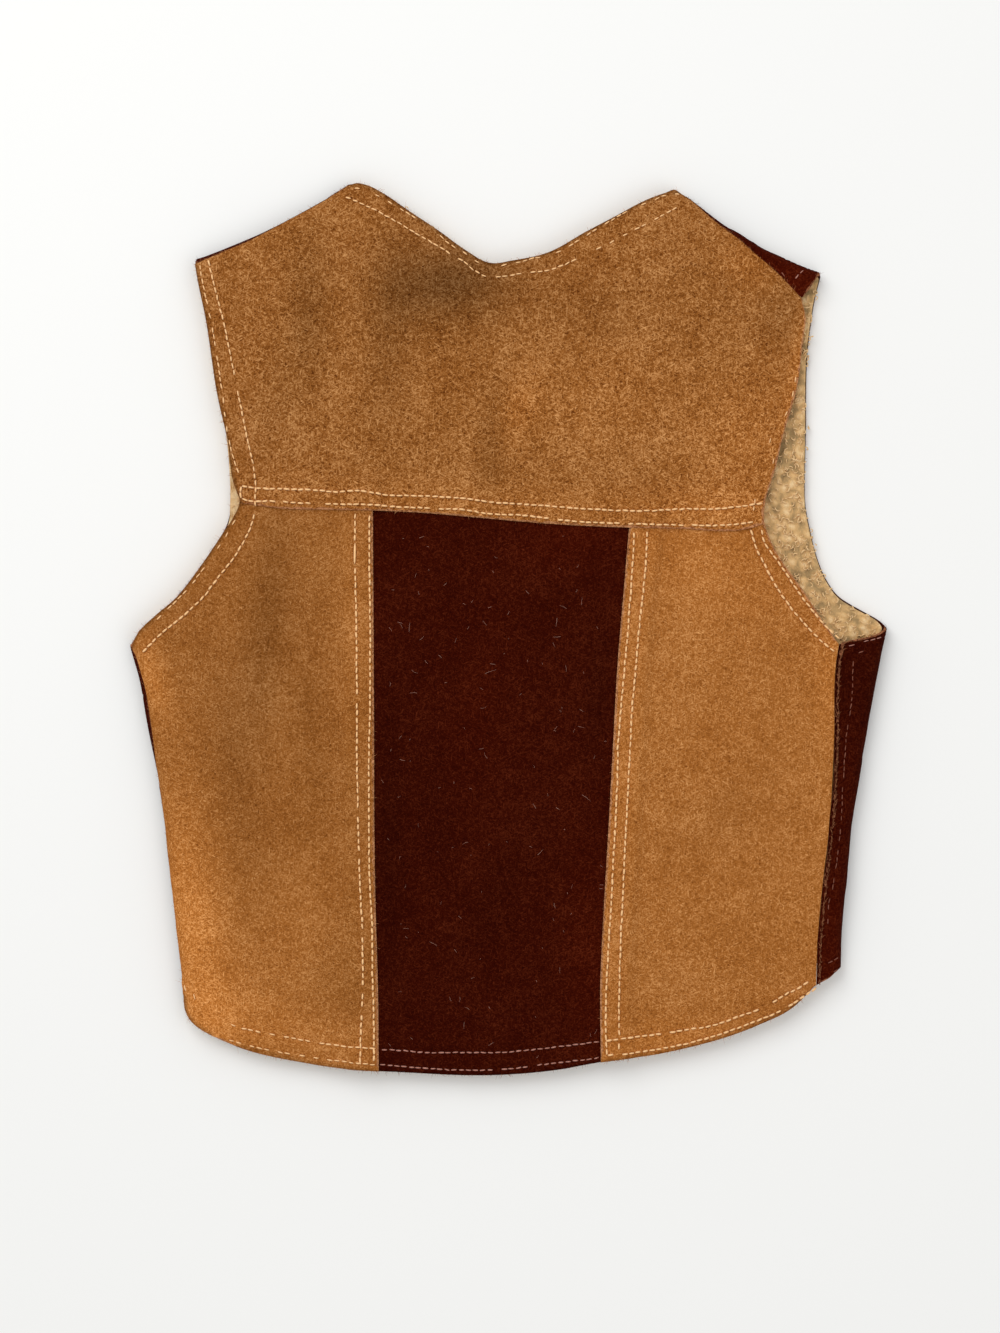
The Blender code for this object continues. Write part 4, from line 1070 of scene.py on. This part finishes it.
def new_material(name, roughness, sheen, shown_colour):
    """A material with its surface shader; what is the same all over stands on the shader's own sockets."""
    material = bpy.data.materials.new(name)
    material.use_nodes = True
    tree = material.node_tree
    shader = tree.nodes["Principled BSDF"]
    shader.inputs["Roughness"].default_value = roughness
    shader.inputs["Specular IOR Level"].default_value = 0.02
    shader.inputs["Sheen Weight"].default_value = sheen
    shader.inputs["Sheen Roughness"].default_value = 0.5
    material.diffuse_color = (*linear(shown_colour), 1.0)
    return material, tree, shader


def waves_of(tree, place, size_mm, detail=2.0, distortion=0.0):
    """Noise whose lumps are about that many millimetres across."""
    noise = add_node(tree, "ShaderNodeTexNoise", Vector=place, Scale=1.0 / (size_mm * MM), Detail=detail,
                     Distortion=distortion)
    return noise.outputs["Fac"]


def strokes_of(tree, place, turn, wide_mm):
    """Noise drawn out three times as long as it is wide, at an angle across the cloth."""
    scale = (3 * wide_mm * MM, wide_mm * MM, wide_mm * MM)
    turned = add_node(tree, "ShaderNodeMapping", {"vector_type": "TEXTURE"}, Vector=place,
                      Rotation=(0.0, 0.0, math.radians(turn)), Scale=scale)
    noise = add_node(tree, "ShaderNodeTexNoise", Vector=turned.outputs[0], Scale=1.0, Detail=1.0,
                     Distortion=0.6)
    return noise.outputs["Fac"]


def blended_noise(tree, parts):
    """Weighted sum of noises round 0."""
    total = None
    for noise, weight in parts:
        centred = add_node(tree, "ShaderNodeMath", {"operation": "SUBTRACT"}, _0=noise, _1=0.5).outputs[0]
        part = add_node(tree, "ShaderNodeMath", {"operation": "MULTIPLY"}, _0=centred, _1=weight).outputs[0]
        total = part if total is None else add_node(tree, "ShaderNodeMath", _0=total, _1=part).outputs[0]
    return total


def colour_ramp(tree, factor, *stops):
    """Colour by a factor: a ramp through stops, each a place and an sRGB hex text, from first to last."""
    ramp = add_node(tree, "ShaderNodeValToRGB", Fac=factor)
    elements = ramp.color_ramp.elements
    for element, (place, code) in zip((elements[0], elements[1]), (stops[0], stops[-1])):
        element.position = place
        element.color = (*linear(code), 1.0)
    for place, code in stops[1:-1]:
        elements.new(place).color = (*linear(code), 1.0)
    return ramp.outputs[0]


def set_bump(tree, shader, height, strength, distance):
    """Small roughness of the surface, in the shader's normal."""
    bump = add_node(tree, "ShaderNodeBump", Strength=strength, Distance=distance, Height=height)
    tree.links.new(bump.outputs[0], shader.inputs["Normal"])


def suede_material(name, dark, middle, light, coarse, contrast):
    """Brushed suede. Its nap lies in patches that the eye reads as cloudy light and dark, flecked with
    fibres that catch the light. Real fibres are near 0.1 mm; they are drawn 1 to 2 mm long to show.
    """
    material, tree, shader = new_material(name, 0.92, 0.0, middle)
    place = add_node(tree, "ShaderNodeTexCoord").outputs["Object"]
    cloud = waves_of(tree, place, 26, 2.0, 0.4)
    patch = waves_of(tree, place, 7, 3.0, 0.8)
    nap = waves_of(tree, place, coarse * 1.2, 2.0, 2.0)
    fleck = strokes_of(tree, place, 25, coarse * 0.8)
    for turn in (88, 150):
        other = strokes_of(tree, place, turn, coarse * 0.8)
        fleck = add_node(tree, "ShaderNodeMath", {"operation": "MAXIMUM"}, _0=fleck, _1=other).outputs[0]
    mixed = blended_noise(tree, ((cloud, 0.55), (patch, 0.5), (nap, 1.3), (fleck, 3.2)))
    # The brightest of three noises lies above the middle, so the blend is set back as it is stretched
    scaled = add_node(tree, "ShaderNodeMath", {"operation": "MULTIPLY_ADD"}, _0=mixed, _1=contrast,
                      _2=0.48 - 0.25 * contrast)
    ramp = colour_ramp(tree, scaled.outputs[0], (0.0, dark), (0.48, middle), (1.0, light))
    # The attribute holds the piece's tone with painted shade and light of creases, laps, edges and seams
    shade = add_node(tree, "ShaderNodeAttribute", {"attribute_name": "tone"}).outputs["Fac"]
    grey = add_node(tree, "ShaderNodeCombineColor", Red=shade, Green=shade, Blue=shade).outputs[0]
    colour = add_node(tree, "ShaderNodeMix", {"data_type": "RGBA", "blend_type": "MULTIPLY"}, _0=1.0,
                      _6=ramp, _7=grey)
    tree.links.new(colour.outputs[2], shader.inputs["Base Color"])
    rough = blended_noise(tree, ((patch, 0.6), (nap, 1.2), (fleck, 2.2)))
    set_bump(tree, shader, rough, 0.55, 0.6 * MM)
    return material


def edge_material(name, dark, light):
    """Cut edge of suede: undyed fibre with a brown rim, paler and rougher than the face."""
    material, tree, shader = new_material(name, 1.0, 0.0, light)
    place = add_node(tree, "ShaderNodeTexCoord").outputs["Object"]
    fuzz = waves_of(tree, place, 1.4, 3.0, 1.0)
    tree.links.new(colour_ramp(tree, fuzz, (0.36, dark), (0.62, light)), shader.inputs["Base Color"])
    set_bump(tree, shader, fuzz, 0.7, 0.6 * MM)
    return material


def sherpa_material(name, deep, middle, light):
    """Sherpa pile: cream curls of polyester, with grey and olive painted shade in the gaps and painted light
    on top.
    Its attribute is the height of the curl, 0 in a gap, which sets the painted shade and light.
    """
    material, tree, shader = new_material(name, 0.95, 0.35, middle)
    shader.inputs["Sheen Tint"].default_value = (*linear(light), 1.0)
    place = add_node(tree, "ShaderNodeTexCoord").outputs["Object"]
    cloud = waves_of(tree, place, 9, 2.0, 0.5)
    yarn = waves_of(tree, place, 1.1, 3.0, 2.0)
    bent = add_node(tree, "ShaderNodeTexNoise", Vector=place, Scale=1.0 / (4 * MM), Detail=1.0)
    moved = add_node(tree, "ShaderNodeVectorMath", {"operation": "MULTIPLY_ADD"}, _0=bent.outputs["Color"],
                     _1=(2.2 * MM, 2.2 * MM, 2.2 * MM), _2=place).outputs[0]
    lock = add_node(tree, "ShaderNodeTexVoronoi", {"feature": "SMOOTH_F1"}, Vector=moved,
                    Scale=1.0 / (4.4 * MM), Smoothness=0.3).outputs["Distance"]
    mixed = blended_noise(tree, ((cloud, 0.7), (yarn, 0.5), (lock, -1.0)))
    height = add_node(tree, "ShaderNodeAttribute", {"attribute_name": "tone"}).outputs["Fac"]
    level = add_node(tree, "ShaderNodeMath", _0=mixed, _1=height).outputs[0]
    ramp = colour_ramp(tree, level, (0.05, deep), (0.5, middle), (0.95, light))
    tree.links.new(ramp, shader.inputs["Base Color"])
    set_bump(tree, shader, blended_noise(tree, ((yarn, 0.9), (lock, -0.7))), 0.8, 0.8 * MM)
    return material


def thread_material(name, colour, shadow):
    """Spun polyester thread: two plies that turn every 1.2 mm, with painted shade mixed in by noise, and a
    faint gloss.
    """
    material, tree, shader = new_material(name, 0.6, 0.1, colour)
    place = add_node(tree, "ShaderNodeTexCoord").outputs["Object"]
    ply = waves_of(tree, place, 1.2, 1.0, 0.5)
    mix = add_node(tree, "ShaderNodeMix", {"data_type": "RGBA"}, _0=ply, _6=(*linear(shadow), 1.0),
                   _7=(*linear(colour), 1.0))
    tree.links.new(mix.outputs[2], shader.inputs["Base Color"])
    return material


# Each finish: its material's name, what makes it, its colours, and a suede's grain (mm) and contrast
FINISHES = {
    "tan": ("brushed_tan_suede", suede_material, "tan_dark tan tan_light", 0.7, 0.5),
    "yoke": ("coarse_tan_suede", suede_material, "tan_dark tan tan_light", 0.82, 0.72),
    "dark": ("brushed_dark_brown_suede", suede_material, "dark_deep dark dark_light", 0.8, 0.6),
    "tan_edge": ("cut_tan_suede_edge", edge_material, "tan_edge_dark tan_edge"),
    "dark_edge": ("cut_dark_suede_edge", edge_material, "dark_edge_dark dark_edge"),
    "sherpa": ("sherpa_pile", sherpa_material, "sherpa_deep sherpa sherpa_light"),
    "tan_thread": ("peach_thread", thread_material, "tan_thread tan_thread_dark"),
    "dark_thread": ("pink_thread", thread_material, "dark_thread dark_thread_dark"),
    "strip_thread": ("faded_pink_thread", thread_material, "strip_thread dark_edge_dark"),
    "sherpa_curl": ("sherpa_yarn", thread_material, "sherpa_light sherpa"),
    "lint": ("pale_lint", thread_material, "lint lint_dark"),
}


def finish(kind):
    """A material of the vest by its short name, made when it is first asked for."""
    name, make, colours, *grain = FINISHES[kind]
    codes = [getattr(bpy.context.scene.vest_colours, colour) for colour in colours.split()]
    return bpy.data.materials.get(name) or make(name, *codes, *grain)


def place_loose(piece):
    """Puts thread, hairs or curls in the frame."""
    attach(piece, "root")
    return piece


def place_sheet(piece, node, fringe):
    """Puts a piece of cloth in the frame and hides the frame's part of that name; the small piece that goes
    with it is not used.
    """
    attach(piece, "root")
    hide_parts(node)


def suede_wall(spec, sizes, outer, inner, finishes, tone_and_shade_values, facing_up, seed):
    """One piece of suede as a closed wall, with fuzz on its cut sides."""
    outer = slanted(outer, sizes.edge_slope / MM)
    name = spec["node"]
    piece = wall(name + "_suede", outer, inner, facing_up, [finish(kind) for kind in finishes], tone_and_shade_values)
    fuzz = border_fuzz(name + "_fuzz", outer, spec["cut"], finish(finishes[1]), seed)
    place_sheet(piece, name, place_loose(fuzz))


def colour_text(name, description, default):
    """An sRGB colour as a hex text."""
    return StringProperty(name=name, description=description, default=default)


class VestSizes(bpy.types.PropertyGroup):
    """Sizes that a user would change."""

    grid_step: FloatProperty(name="Suede grid", description="Grid step of the suede", default=1.5 * MM,
                             min=0.8 * MM, unit="LENGTH", precision=5)
    front_step: FloatProperty(name="Front grid", description="Grid step of the fronts", default=2.2 * MM,
                              min=1 * MM, unit="LENGTH", precision=5)
    lining_step: FloatProperty(name="Lining grid", description="Grid step of the linings", default=3.0 * MM,
                               min=1 * MM, unit="LENGTH", precision=5)
    edge_slope: FloatProperty(name="Edge slope", description="Width of the cut edge seen from above",
                              default=0.8 * MM, min=0.0, unit="LENGTH", precision=5)
    stitch_pitch: FloatProperty(name="Stitch", description="Length of one stitch with its gap",
                                default=3.25 * MM, min=1 * MM, unit="LENGTH", precision=5)
    thread_width: FloatProperty(name="Thread", description="Thickness of the thread", default=1.15 * MM,
                                min=0.2 * MM, unit="LENGTH", precision=5)
    curl_size: FloatProperty(name="Curl", description="Radius of a sherpa curl", default=0.95 * MM,
                             min=0.3 * MM, unit="LENGTH", precision=5)
    lint_count: IntProperty(name="Lint", description="Number of lint fibres on the dark suede", default=130,
                            min=0)


class VestColours(bpy.types.PropertyGroup):
    """Colours of the materials, as sRGB hex texts."""

    tan: colour_text("Tan", "Middle colour of the tan suede", "#9E6028")
    tan_dark: colour_text("Tan, dark", "Darkest nap of the tan suede", "#62300C")
    tan_light: colour_text("Tan, light", "Lightest nap of the tan suede", "#DDA064")
    dark: colour_text("Dark brown", "Middle colour of the dark suede", "#3A0A01")
    dark_deep: colour_text("Dark brown, deep", "Darkest nap of the dark suede", "#280400")
    dark_light: colour_text("Dark brown, light", "Lightest nap of the dark suede", "#5E2410")
    tan_edge: colour_text("Tan edge", "Cut edge of the tan suede", "#DA9C6C")
    tan_edge_dark: colour_text("Tan edge, dark", "Brown rim of the tan suede's edge", "#8A502A")
    dark_edge: colour_text("Dark edge", "Cut edge of the dark suede", "#A86E4C")
    dark_edge_dark: colour_text("Dark edge, dark", "Brown rim of the dark suede's edge", "#4C2012")
    sherpa: colour_text("Sherpa", "Middle colour of the pile", "#DCB27A")
    # sherpa_deep is painted shade in the gaps between the curls; sherpa_light is painted light on their tops
    sherpa_deep: colour_text("Sherpa, deep", "Gaps between the curls", "#A6895F")
    sherpa_light: colour_text("Sherpa, light", "Tops of the curls", "#F8D8A6")
    # Each thread's dark colour is painted shade between its plies
    tan_thread: colour_text("Tan thread", "Thread on the tan suede", "#FFCE94")
    tan_thread_dark: colour_text("Tan thread, dark", "Gaps of the thread on the tan suede", "#EDBA82")
    dark_thread: colour_text("Dark thread", "Thread on the dark suede", "#C99484")
    dark_thread_dark: colour_text("Dark thread, dark", "Gaps of the thread on the dark suede", "#8A5040")
    strip_thread: colour_text("Strip thread", "Thread on the fronts, half lost in the nap", "#A06450")
    lint: colour_text("Lint", "Lint fibres", "#C89A88")
    lint_dark: colour_text("Lint, dark", "Shadow side of the lint", "#8A5A4A")


class VEST_OT_back(bpy.types.Operator):
    """Back yoke and panels as thin suede walls over their folds and laps"""

    bl_idname = "vest.back"
    bl_label = "Back Pieces"

    def execute(self, context):
        sizes = context.scene.vest_sizes
        for spec in BACK_PIECES:
            surface = SURFACES[spec["piece"]]
            grid = fine_grid(spec["sides"](), sizes.grid_step / MM)
            seen = lay_back(grid, surface["folds"], 0.0, surface["lap"])
            raised = relief(seen[..., 0], seen[..., 1], spec["piece"])
            outer = lay_back(grid, surface["folds"], -raised, surface["lap"])
            inner = lay_back(grid, surface["folds"], SUEDE - raised, surface["lap"])
            # Nap tone with painted shade and light, times painted shade along the turned edges
            tone_and_shade_values = tone(seen[..., 0], seen[..., 1], spec["piece"]) * rim_shade(seen[..., 0], seen[..., 1])
            finishes = (spec["finish"], "dark_edge" if spec["finish"] == "dark" else "tan_edge")
            suede_wall(spec, sizes, outer, inner, finishes, tone_and_shade_values, True, 60)
        return {"FINISHED"}


class VEST_OT_fronts(bpy.types.Operator):
    """Dark suede fronts, face down, that roll over the sides and shoulders"""

    bl_idname = "vest.fronts"
    bl_label = "Fronts"

    def execute(self, context):
        sizes = context.scene.vest_sizes
        for spec in FRONTS:
            grid = fine_grid(spec["sides"](), sizes.front_step / MM * spec["step_share"])
            seen = lay_front(grid, spec["folds"], 0.0)
            on_top = seen[..., 2] > STACK_HEIGHT * 0.6
            raised = np.where(on_top, strip_relief(seen[..., 0], seen[..., 1]), 0.0)
            outer = lay_front(grid, spec["folds"], -raised)
            inner = lay_front(grid, spec["folds"], SUEDE - raised)
            # Painted shade in the crack along the right side seam, where the fronts show on top
            tone_and_shade_values = np.where(on_top, strip_tone_and_shade(seen[..., 0], seen[..., 1]), 1.0)
            finishes = ("dark", "dark_edge")
            suede_wall(spec, sizes, outer, inner, finishes, tone_and_shade_values, spec["facing_up"], 70)
        return {"FINISHED"}


def strip_relief(x, y):
    """Heights on the fronts where they show on top: stitch grooves, and the ridge beside the side seam."""
    seam = distance_to(RIGHT_SIDE_SEAM[1:-1], x, y)
    return relief(x, y, "strip") + RIDGE_HEIGHT * bell((seam - RIDGE_PLACE) / RIDGE_WIDTH)


def strip_tone_and_shade(x, y):
    """Share of the dark suede's own colour on the fronts' top, with painted shade in the crack along the side
    seam.
    """
    seam = distance_to(RIGHT_SIDE_SEAM, x, y)
    return tone(x, y, "strip") * (1 - CRACK_SHADE * bell(seam / CRACK_WIDTH))


def pile_height(x, y):
    """Height of the sherpa's locks: a dome round each of many scattered middles, with small waves on top.

    The middles stand on a square grid, each moved at random. The height is that of the nearest dome,
    the square root of 1 less the squared share of its reach.
    """
    period = 64
    shift = np.random.default_rng(40).uniform(-0.36, 0.36, (period, period, 2))
    column, row = np.floor(x / LOCK_SIZE).astype(int), np.floor(y / LOCK_SIZE).astype(int)
    nearest = np.full_like(x, 1e6)
    for beside, above in np.ndindex(3, 3):
        cell_x, cell_y = column + beside - 1, row + above - 1
        moved = shift[cell_x % period, cell_y % period]
        away_x = (cell_x + 0.5 + moved[..., 0]) * LOCK_SIZE - x
        away_y = (cell_y + 0.5 + moved[..., 1]) * LOCK_SIZE - y
        nearest = np.minimum(nearest, np.hypot(away_x, away_y))
    dome = np.sqrt(np.clip(1 - (nearest / (LOCK_SIZE * 0.72)) ** 2, 0, 1))
    return 0.85 * dome + 0.09 * ripple(x, y, 2.6, 23) + 0.06 * ripple(x, y, 14, 24)


def border_taper(shape, step):
    """Rises from 0 at a piece's border to 1 inside it, as a quarter of a circle."""
    rows, columns = np.indices(shape)
    away = np.minimum(rows, shape[0] - 1 - rows)
    away = np.minimum(away, np.minimum(columns, shape[1] - 1 - columns)) * step
    return np.sqrt(1 - (1 - np.clip(away / PILE_ROUNDING, 0, 1)) ** 2)


class VEST_OT_linings(bpy.types.Operator):
    """Sherpa linings: walls as thick as the pile, with locks and curls on the inner side"""

    bl_idname = "vest.linings"
    bl_label = "Linings"

    def execute(self, context):
        sizes = context.scene.vest_sizes
        folds = (LEFT_SIDE_FOLD, *SHOULDERS)
        step = sizes.lining_step / MM
        grid = fine_grid(back_lining_sides(), step, LINING_INSET / BACK_SPAN)
        self.add_lining(sizes, "lining_back", grid, step, folds, lay_back, True)
        for spec in FRONTS:
            step = sizes.lining_step / MM * spec["pile_share"]
            grid = fine_grid(spec["sides"](), step, spec["inset"] / FRONT_SPAN)
            self.add_lining(sizes, spec["lining"], grid, step, spec["folds"], lay_front, spec["facing_up"])
        return {"FINISHED"}

    def add_lining(self, sizes, node, grid, step, folds, lay, facing_up):
        """Lining whose outer face lies along the suede, and whose inner face is lumpy with pile."""
        outer = lay(grid, folds, SUEDE + LINING_CLEARANCE)
        height = np.clip(pile_height(grid[..., 0], grid[..., 1]), 0, 1.1)
        thick = lining_thickness(grid, outer, folds) - PILE_LUMP * 0.6 + PILE_LUMP * height
        thick = thick * (EDGE_THICKNESS + (1 - EDGE_THICKNESS) * border_taper(thick.shape, step))
        inner = lay(grid, folds, SUEDE + LINING_CLEARANCE + thick)
        name = node.replace("lining", "sherpa")
        pile = finish("sherpa")
        # Painted shade in the pile's gaps and painted light on its tops, by height; extra painted light at
        # the notch
        painted_pile_shading = PILE_CONTRAST * height + (NOTCH_LIGHT if node == "lining_front_left" else 0)
        piece = wall(name, outer, inner, facing_up, [pile, pile], painted_pile_shading)
        fringe = self.add_curls(sizes, node, inner, lay is lay_back)
        place_sheet(piece, node, fringe)

    def add_curls(self, sizes, node, inner, faces_down):
        """Curls over the part of the pile that shows."""
        normals = grid_normals(inner) * (-1 if faces_down else 1)
        shows = shown_pile(node, inner)
        draw = np.random.default_rng(len(node))
        rows, columns = np.nonzero(shows)
        picked = draw.choice(len(rows), size=min(CURLS[node], len(rows)), replace=False)
        spots, ups = inner[rows[picked], columns[picked]], normals[rows[picked], columns[picked]]
        if node == "lining_front_left":
            ups = -ups
        spots = spots + draw.normal(0, 0.7, spots.shape) * (1, 1, 0.2)
        bunch = curls(spots, ups, sizes.curl_size / MM, 31 + len(node))
        piece = many(node.replace("lining", "curls"), [bunch], finish("sherpa_curl"))
        return place_loose(piece)


def shown_pile(node, inner):
    """True where a lining's pile can be seen: in the right armhole, at the left notch, in the neck's V."""
    x, y = inner[..., 0], inner[..., 1]
    if node == "lining_front_right":
        edge_x = np.interp(y, [p[1] for p in YOKE_RIGHT_ARMHOLE], [p[0] for p in YOKE_RIGHT_ARMHOLE])
        low = PANEL_RIGHT_ARMHOLE[::-1]
        low_x = np.interp(-y, [-p[1] for p in low], [p[0] for p in low])
        return (x > np.where(y > 48, edge_x, low_x) - 4) & (y > -6) & (y < 158) & (inner[..., 2] < 9.5)
    if node == "lining_front_left":
        return (x < -118) & (x > -126) & (y > 40) & (y < 80)
    return (np.abs(x) < 62) & (y > 70)


class VEST_OT_stitching(bpy.types.Operator):
    """Twin rows of stitches along the laps, armholes, neck and hem"""

    bl_idname = "vest.stitching"
    bl_label = "Stitching"

    def execute(self, context):
        sizes = context.scene.vest_sizes
        threads = {"tan": [], "dark": [], "strip": []}
        for number, row in enumerate(STITCH_ROWS):
            usual = {"centre": "dark", "strip": "strip", "tip": "strip"}.get(row["piece"], "tan")
            kind = row.get("thread", usual)
            threads[kind].append(stitches(row, sizes, 100 + number))
        for kind in threads:
            place_loose(many("thread_on_" + kind, threads[kind], finish(kind + "_thread")))
        return {"FINISHED"}


class VEST_OT_lint(bpy.types.Operator):
    """Pale lint on the dark suede, and fuzz along the ridge beside the right side seam"""

    bl_idname = "vest.lint"
    bl_label = "Lint and Fuzz"

    def execute(self, context):
        sizes = context.scene.vest_sizes
        draw = np.random.default_rng(77)
        count = sizes.lint_count
        spots = np.stack([draw.uniform(*LINT_ACROSS, count), draw.uniform(*LINT_ALONG, count)], axis=-1)
        base = on_face(spots, "centre", 0.15)
        turn = draw.uniform(0, 2 * math.pi, count)
        ways = np.stack([np.cos(turn), np.sin(turn), draw.uniform(-0.02, 0.1, count)], axis=-1)
        bunch = fibres(base, ways, draw.uniform(0.8, 3.0, count), 0.08, 78)
        place_loose(many("lint", [bunch], finish("lint")))
        self.add_ridge_fuzz()
        return {"FINISHED"}

    def add_ridge_fuzz(self):
        """Pale nap on the ridge's crest by the right side seam, thickest at its top: part worn, part painted
        highlight.
        """
        draw = np.random.default_rng(79)
        share = 1 - draw.random(RIDGE_FIBRES) ** 1.5
        seam = curve(RIGHT_SIDE_SEAM)
        along = unit(seam(share + 0.004) - seam(share - 0.004))
        aside = np.stack([along[:, 1], -along[:, 0]], axis=-1)
        spots = seam(share) + aside * (RIDGE_PLACE - 0.2 + draw.normal(0, 0.22, (len(share), 1)))
        base = on_face(spots, "strip", RIDGE_HEIGHT)
        level = along + draw.normal(0, 0.25, along.shape)
        ways = np.concatenate([level, draw.uniform(-0.05, 0.15, (len(along), 1))], axis=-1)
        bunch = fibres(base, ways, draw.uniform(0.8, 2.0, len(along)), 0.16, 80)
        place_loose(many("ridge_fuzz", [bunch], finish("dark_edge")))


class VEST_OT_stage(bpy.types.Operator):
    """Pale floor, soft lights and a camera straight above, as the photograph looks"""

    bl_idname = "vest.stage"
    bl_label = "Stage"

    def execute(self, context):
        scene = context.scene
        mesh = bpy.data.meshes.new("floor")
        corners = [(x * FLOOR_REACH, y * FLOOR_REACH, FRAME_BOX[0][2]) for x, y in
                   ((-1, -1), (1, -1), (1, 1), (-1, 1))]
        mesh.from_pydata(corners, [], [(0, 1, 2, 3)])
        floor = bpy.data.objects.new("floor", mesh)
        scene.collection.objects.link(floor)
        material, _, shader = new_material("pale_paper", 0.9, 0.0, PAPER)
        shader.inputs["Base Color"].default_value = (*linear(PAPER), 1.0)
        mesh.materials.append(material)
        world = bpy.data.worlds.new("soft_room")
        world.use_nodes = True
        room = world.node_tree.nodes["Background"].inputs
        room["Color"].default_value = (1.0, 1.0, 1.0, 1.0)
        room["Strength"].default_value = ROOM_LIGHT
        scene.world = world
        for lamp in LAMPS:
            data = bpy.data.lights.new(lamp["name"], "AREA")
            data.size = lamp["size"]
            data.energy = lamp["watts"]
            light = bpy.data.objects.new(lamp["name"], data)
            light.location = lamp["place"]
            light.rotation_euler = (-mathutils.Vector(lamp["place"])).to_track_quat("-Z", "Y").to_euler()
            scene.collection.objects.link(light)
        data = bpy.data.cameras.new("camera")
        data.sensor_fit = "VERTICAL"
        data.sensor_height = 24.0
        above_vest = CAMERA_HEIGHT - STACK_HEIGHT * MM
        data.lens = data.sensor_height * above_vest / (PHOTO_HEIGHT * MM)
        camera = bpy.data.objects.new("camera", data)
        x, y = (PHOTO_MIDDLE[axis] - LAID_MIDDLE[axis] for axis in (0, 1))
        camera.location = (x * MM, y * MM, CAMERA_HEIGHT)
        scene.collection.objects.link(camera)
        scene.camera = camera
        scene.view_settings.view_transform = "Standard"
        return {"FINISHED"}


class VEST_PT_sidebar(bpy.types.Panel):
    """Lists the vest's sizes, colours and steps"""

    bl_label = "Western Vest"
    bl_idname = "VEST_PT_sidebar"
    bl_space_type = "VIEW_3D"
    bl_region_type = "UI"
    bl_category = "Vest"

    def draw(self, context):
        for group in (context.scene.vest_sizes, context.scene.vest_colours):
            box = self.layout.box()
            for name in group.__annotations__:
                box.prop(group, name)
        for step in STEPS:
            self.layout.operator(step.bl_idname)


STEPS = (VEST_OT_stage, VEST_OT_linings, VEST_OT_fronts, VEST_OT_back, VEST_OT_stitching, VEST_OT_lint)
CLASSES = (VestSizes, VestColours, *STEPS, VEST_PT_sidebar)


def register():
    """Makes the vest's settings, operators and panel known to Blender."""
    for item in CLASSES:
        bpy.utils.register_class(item)
    bpy.types.Scene.vest_sizes = PointerProperty(type=VestSizes)
    bpy.types.Scene.vest_colours = PointerProperty(type=VestColours)


def unregister():
    """Takes them out again."""
    del bpy.types.Scene.vest_colours
    del bpy.types.Scene.vest_sizes
    for item in reversed(CLASSES):
        bpy.utils.unregister_class(item)


def main():
    """Builds everything in order."""
    register()
    for step in STEPS:
        family, name = step.bl_idname.split(".")
        getattr(getattr(bpy.ops, family), name)()
    bpy.context.view_layer.update()


if __name__ == "__main__":
    main()
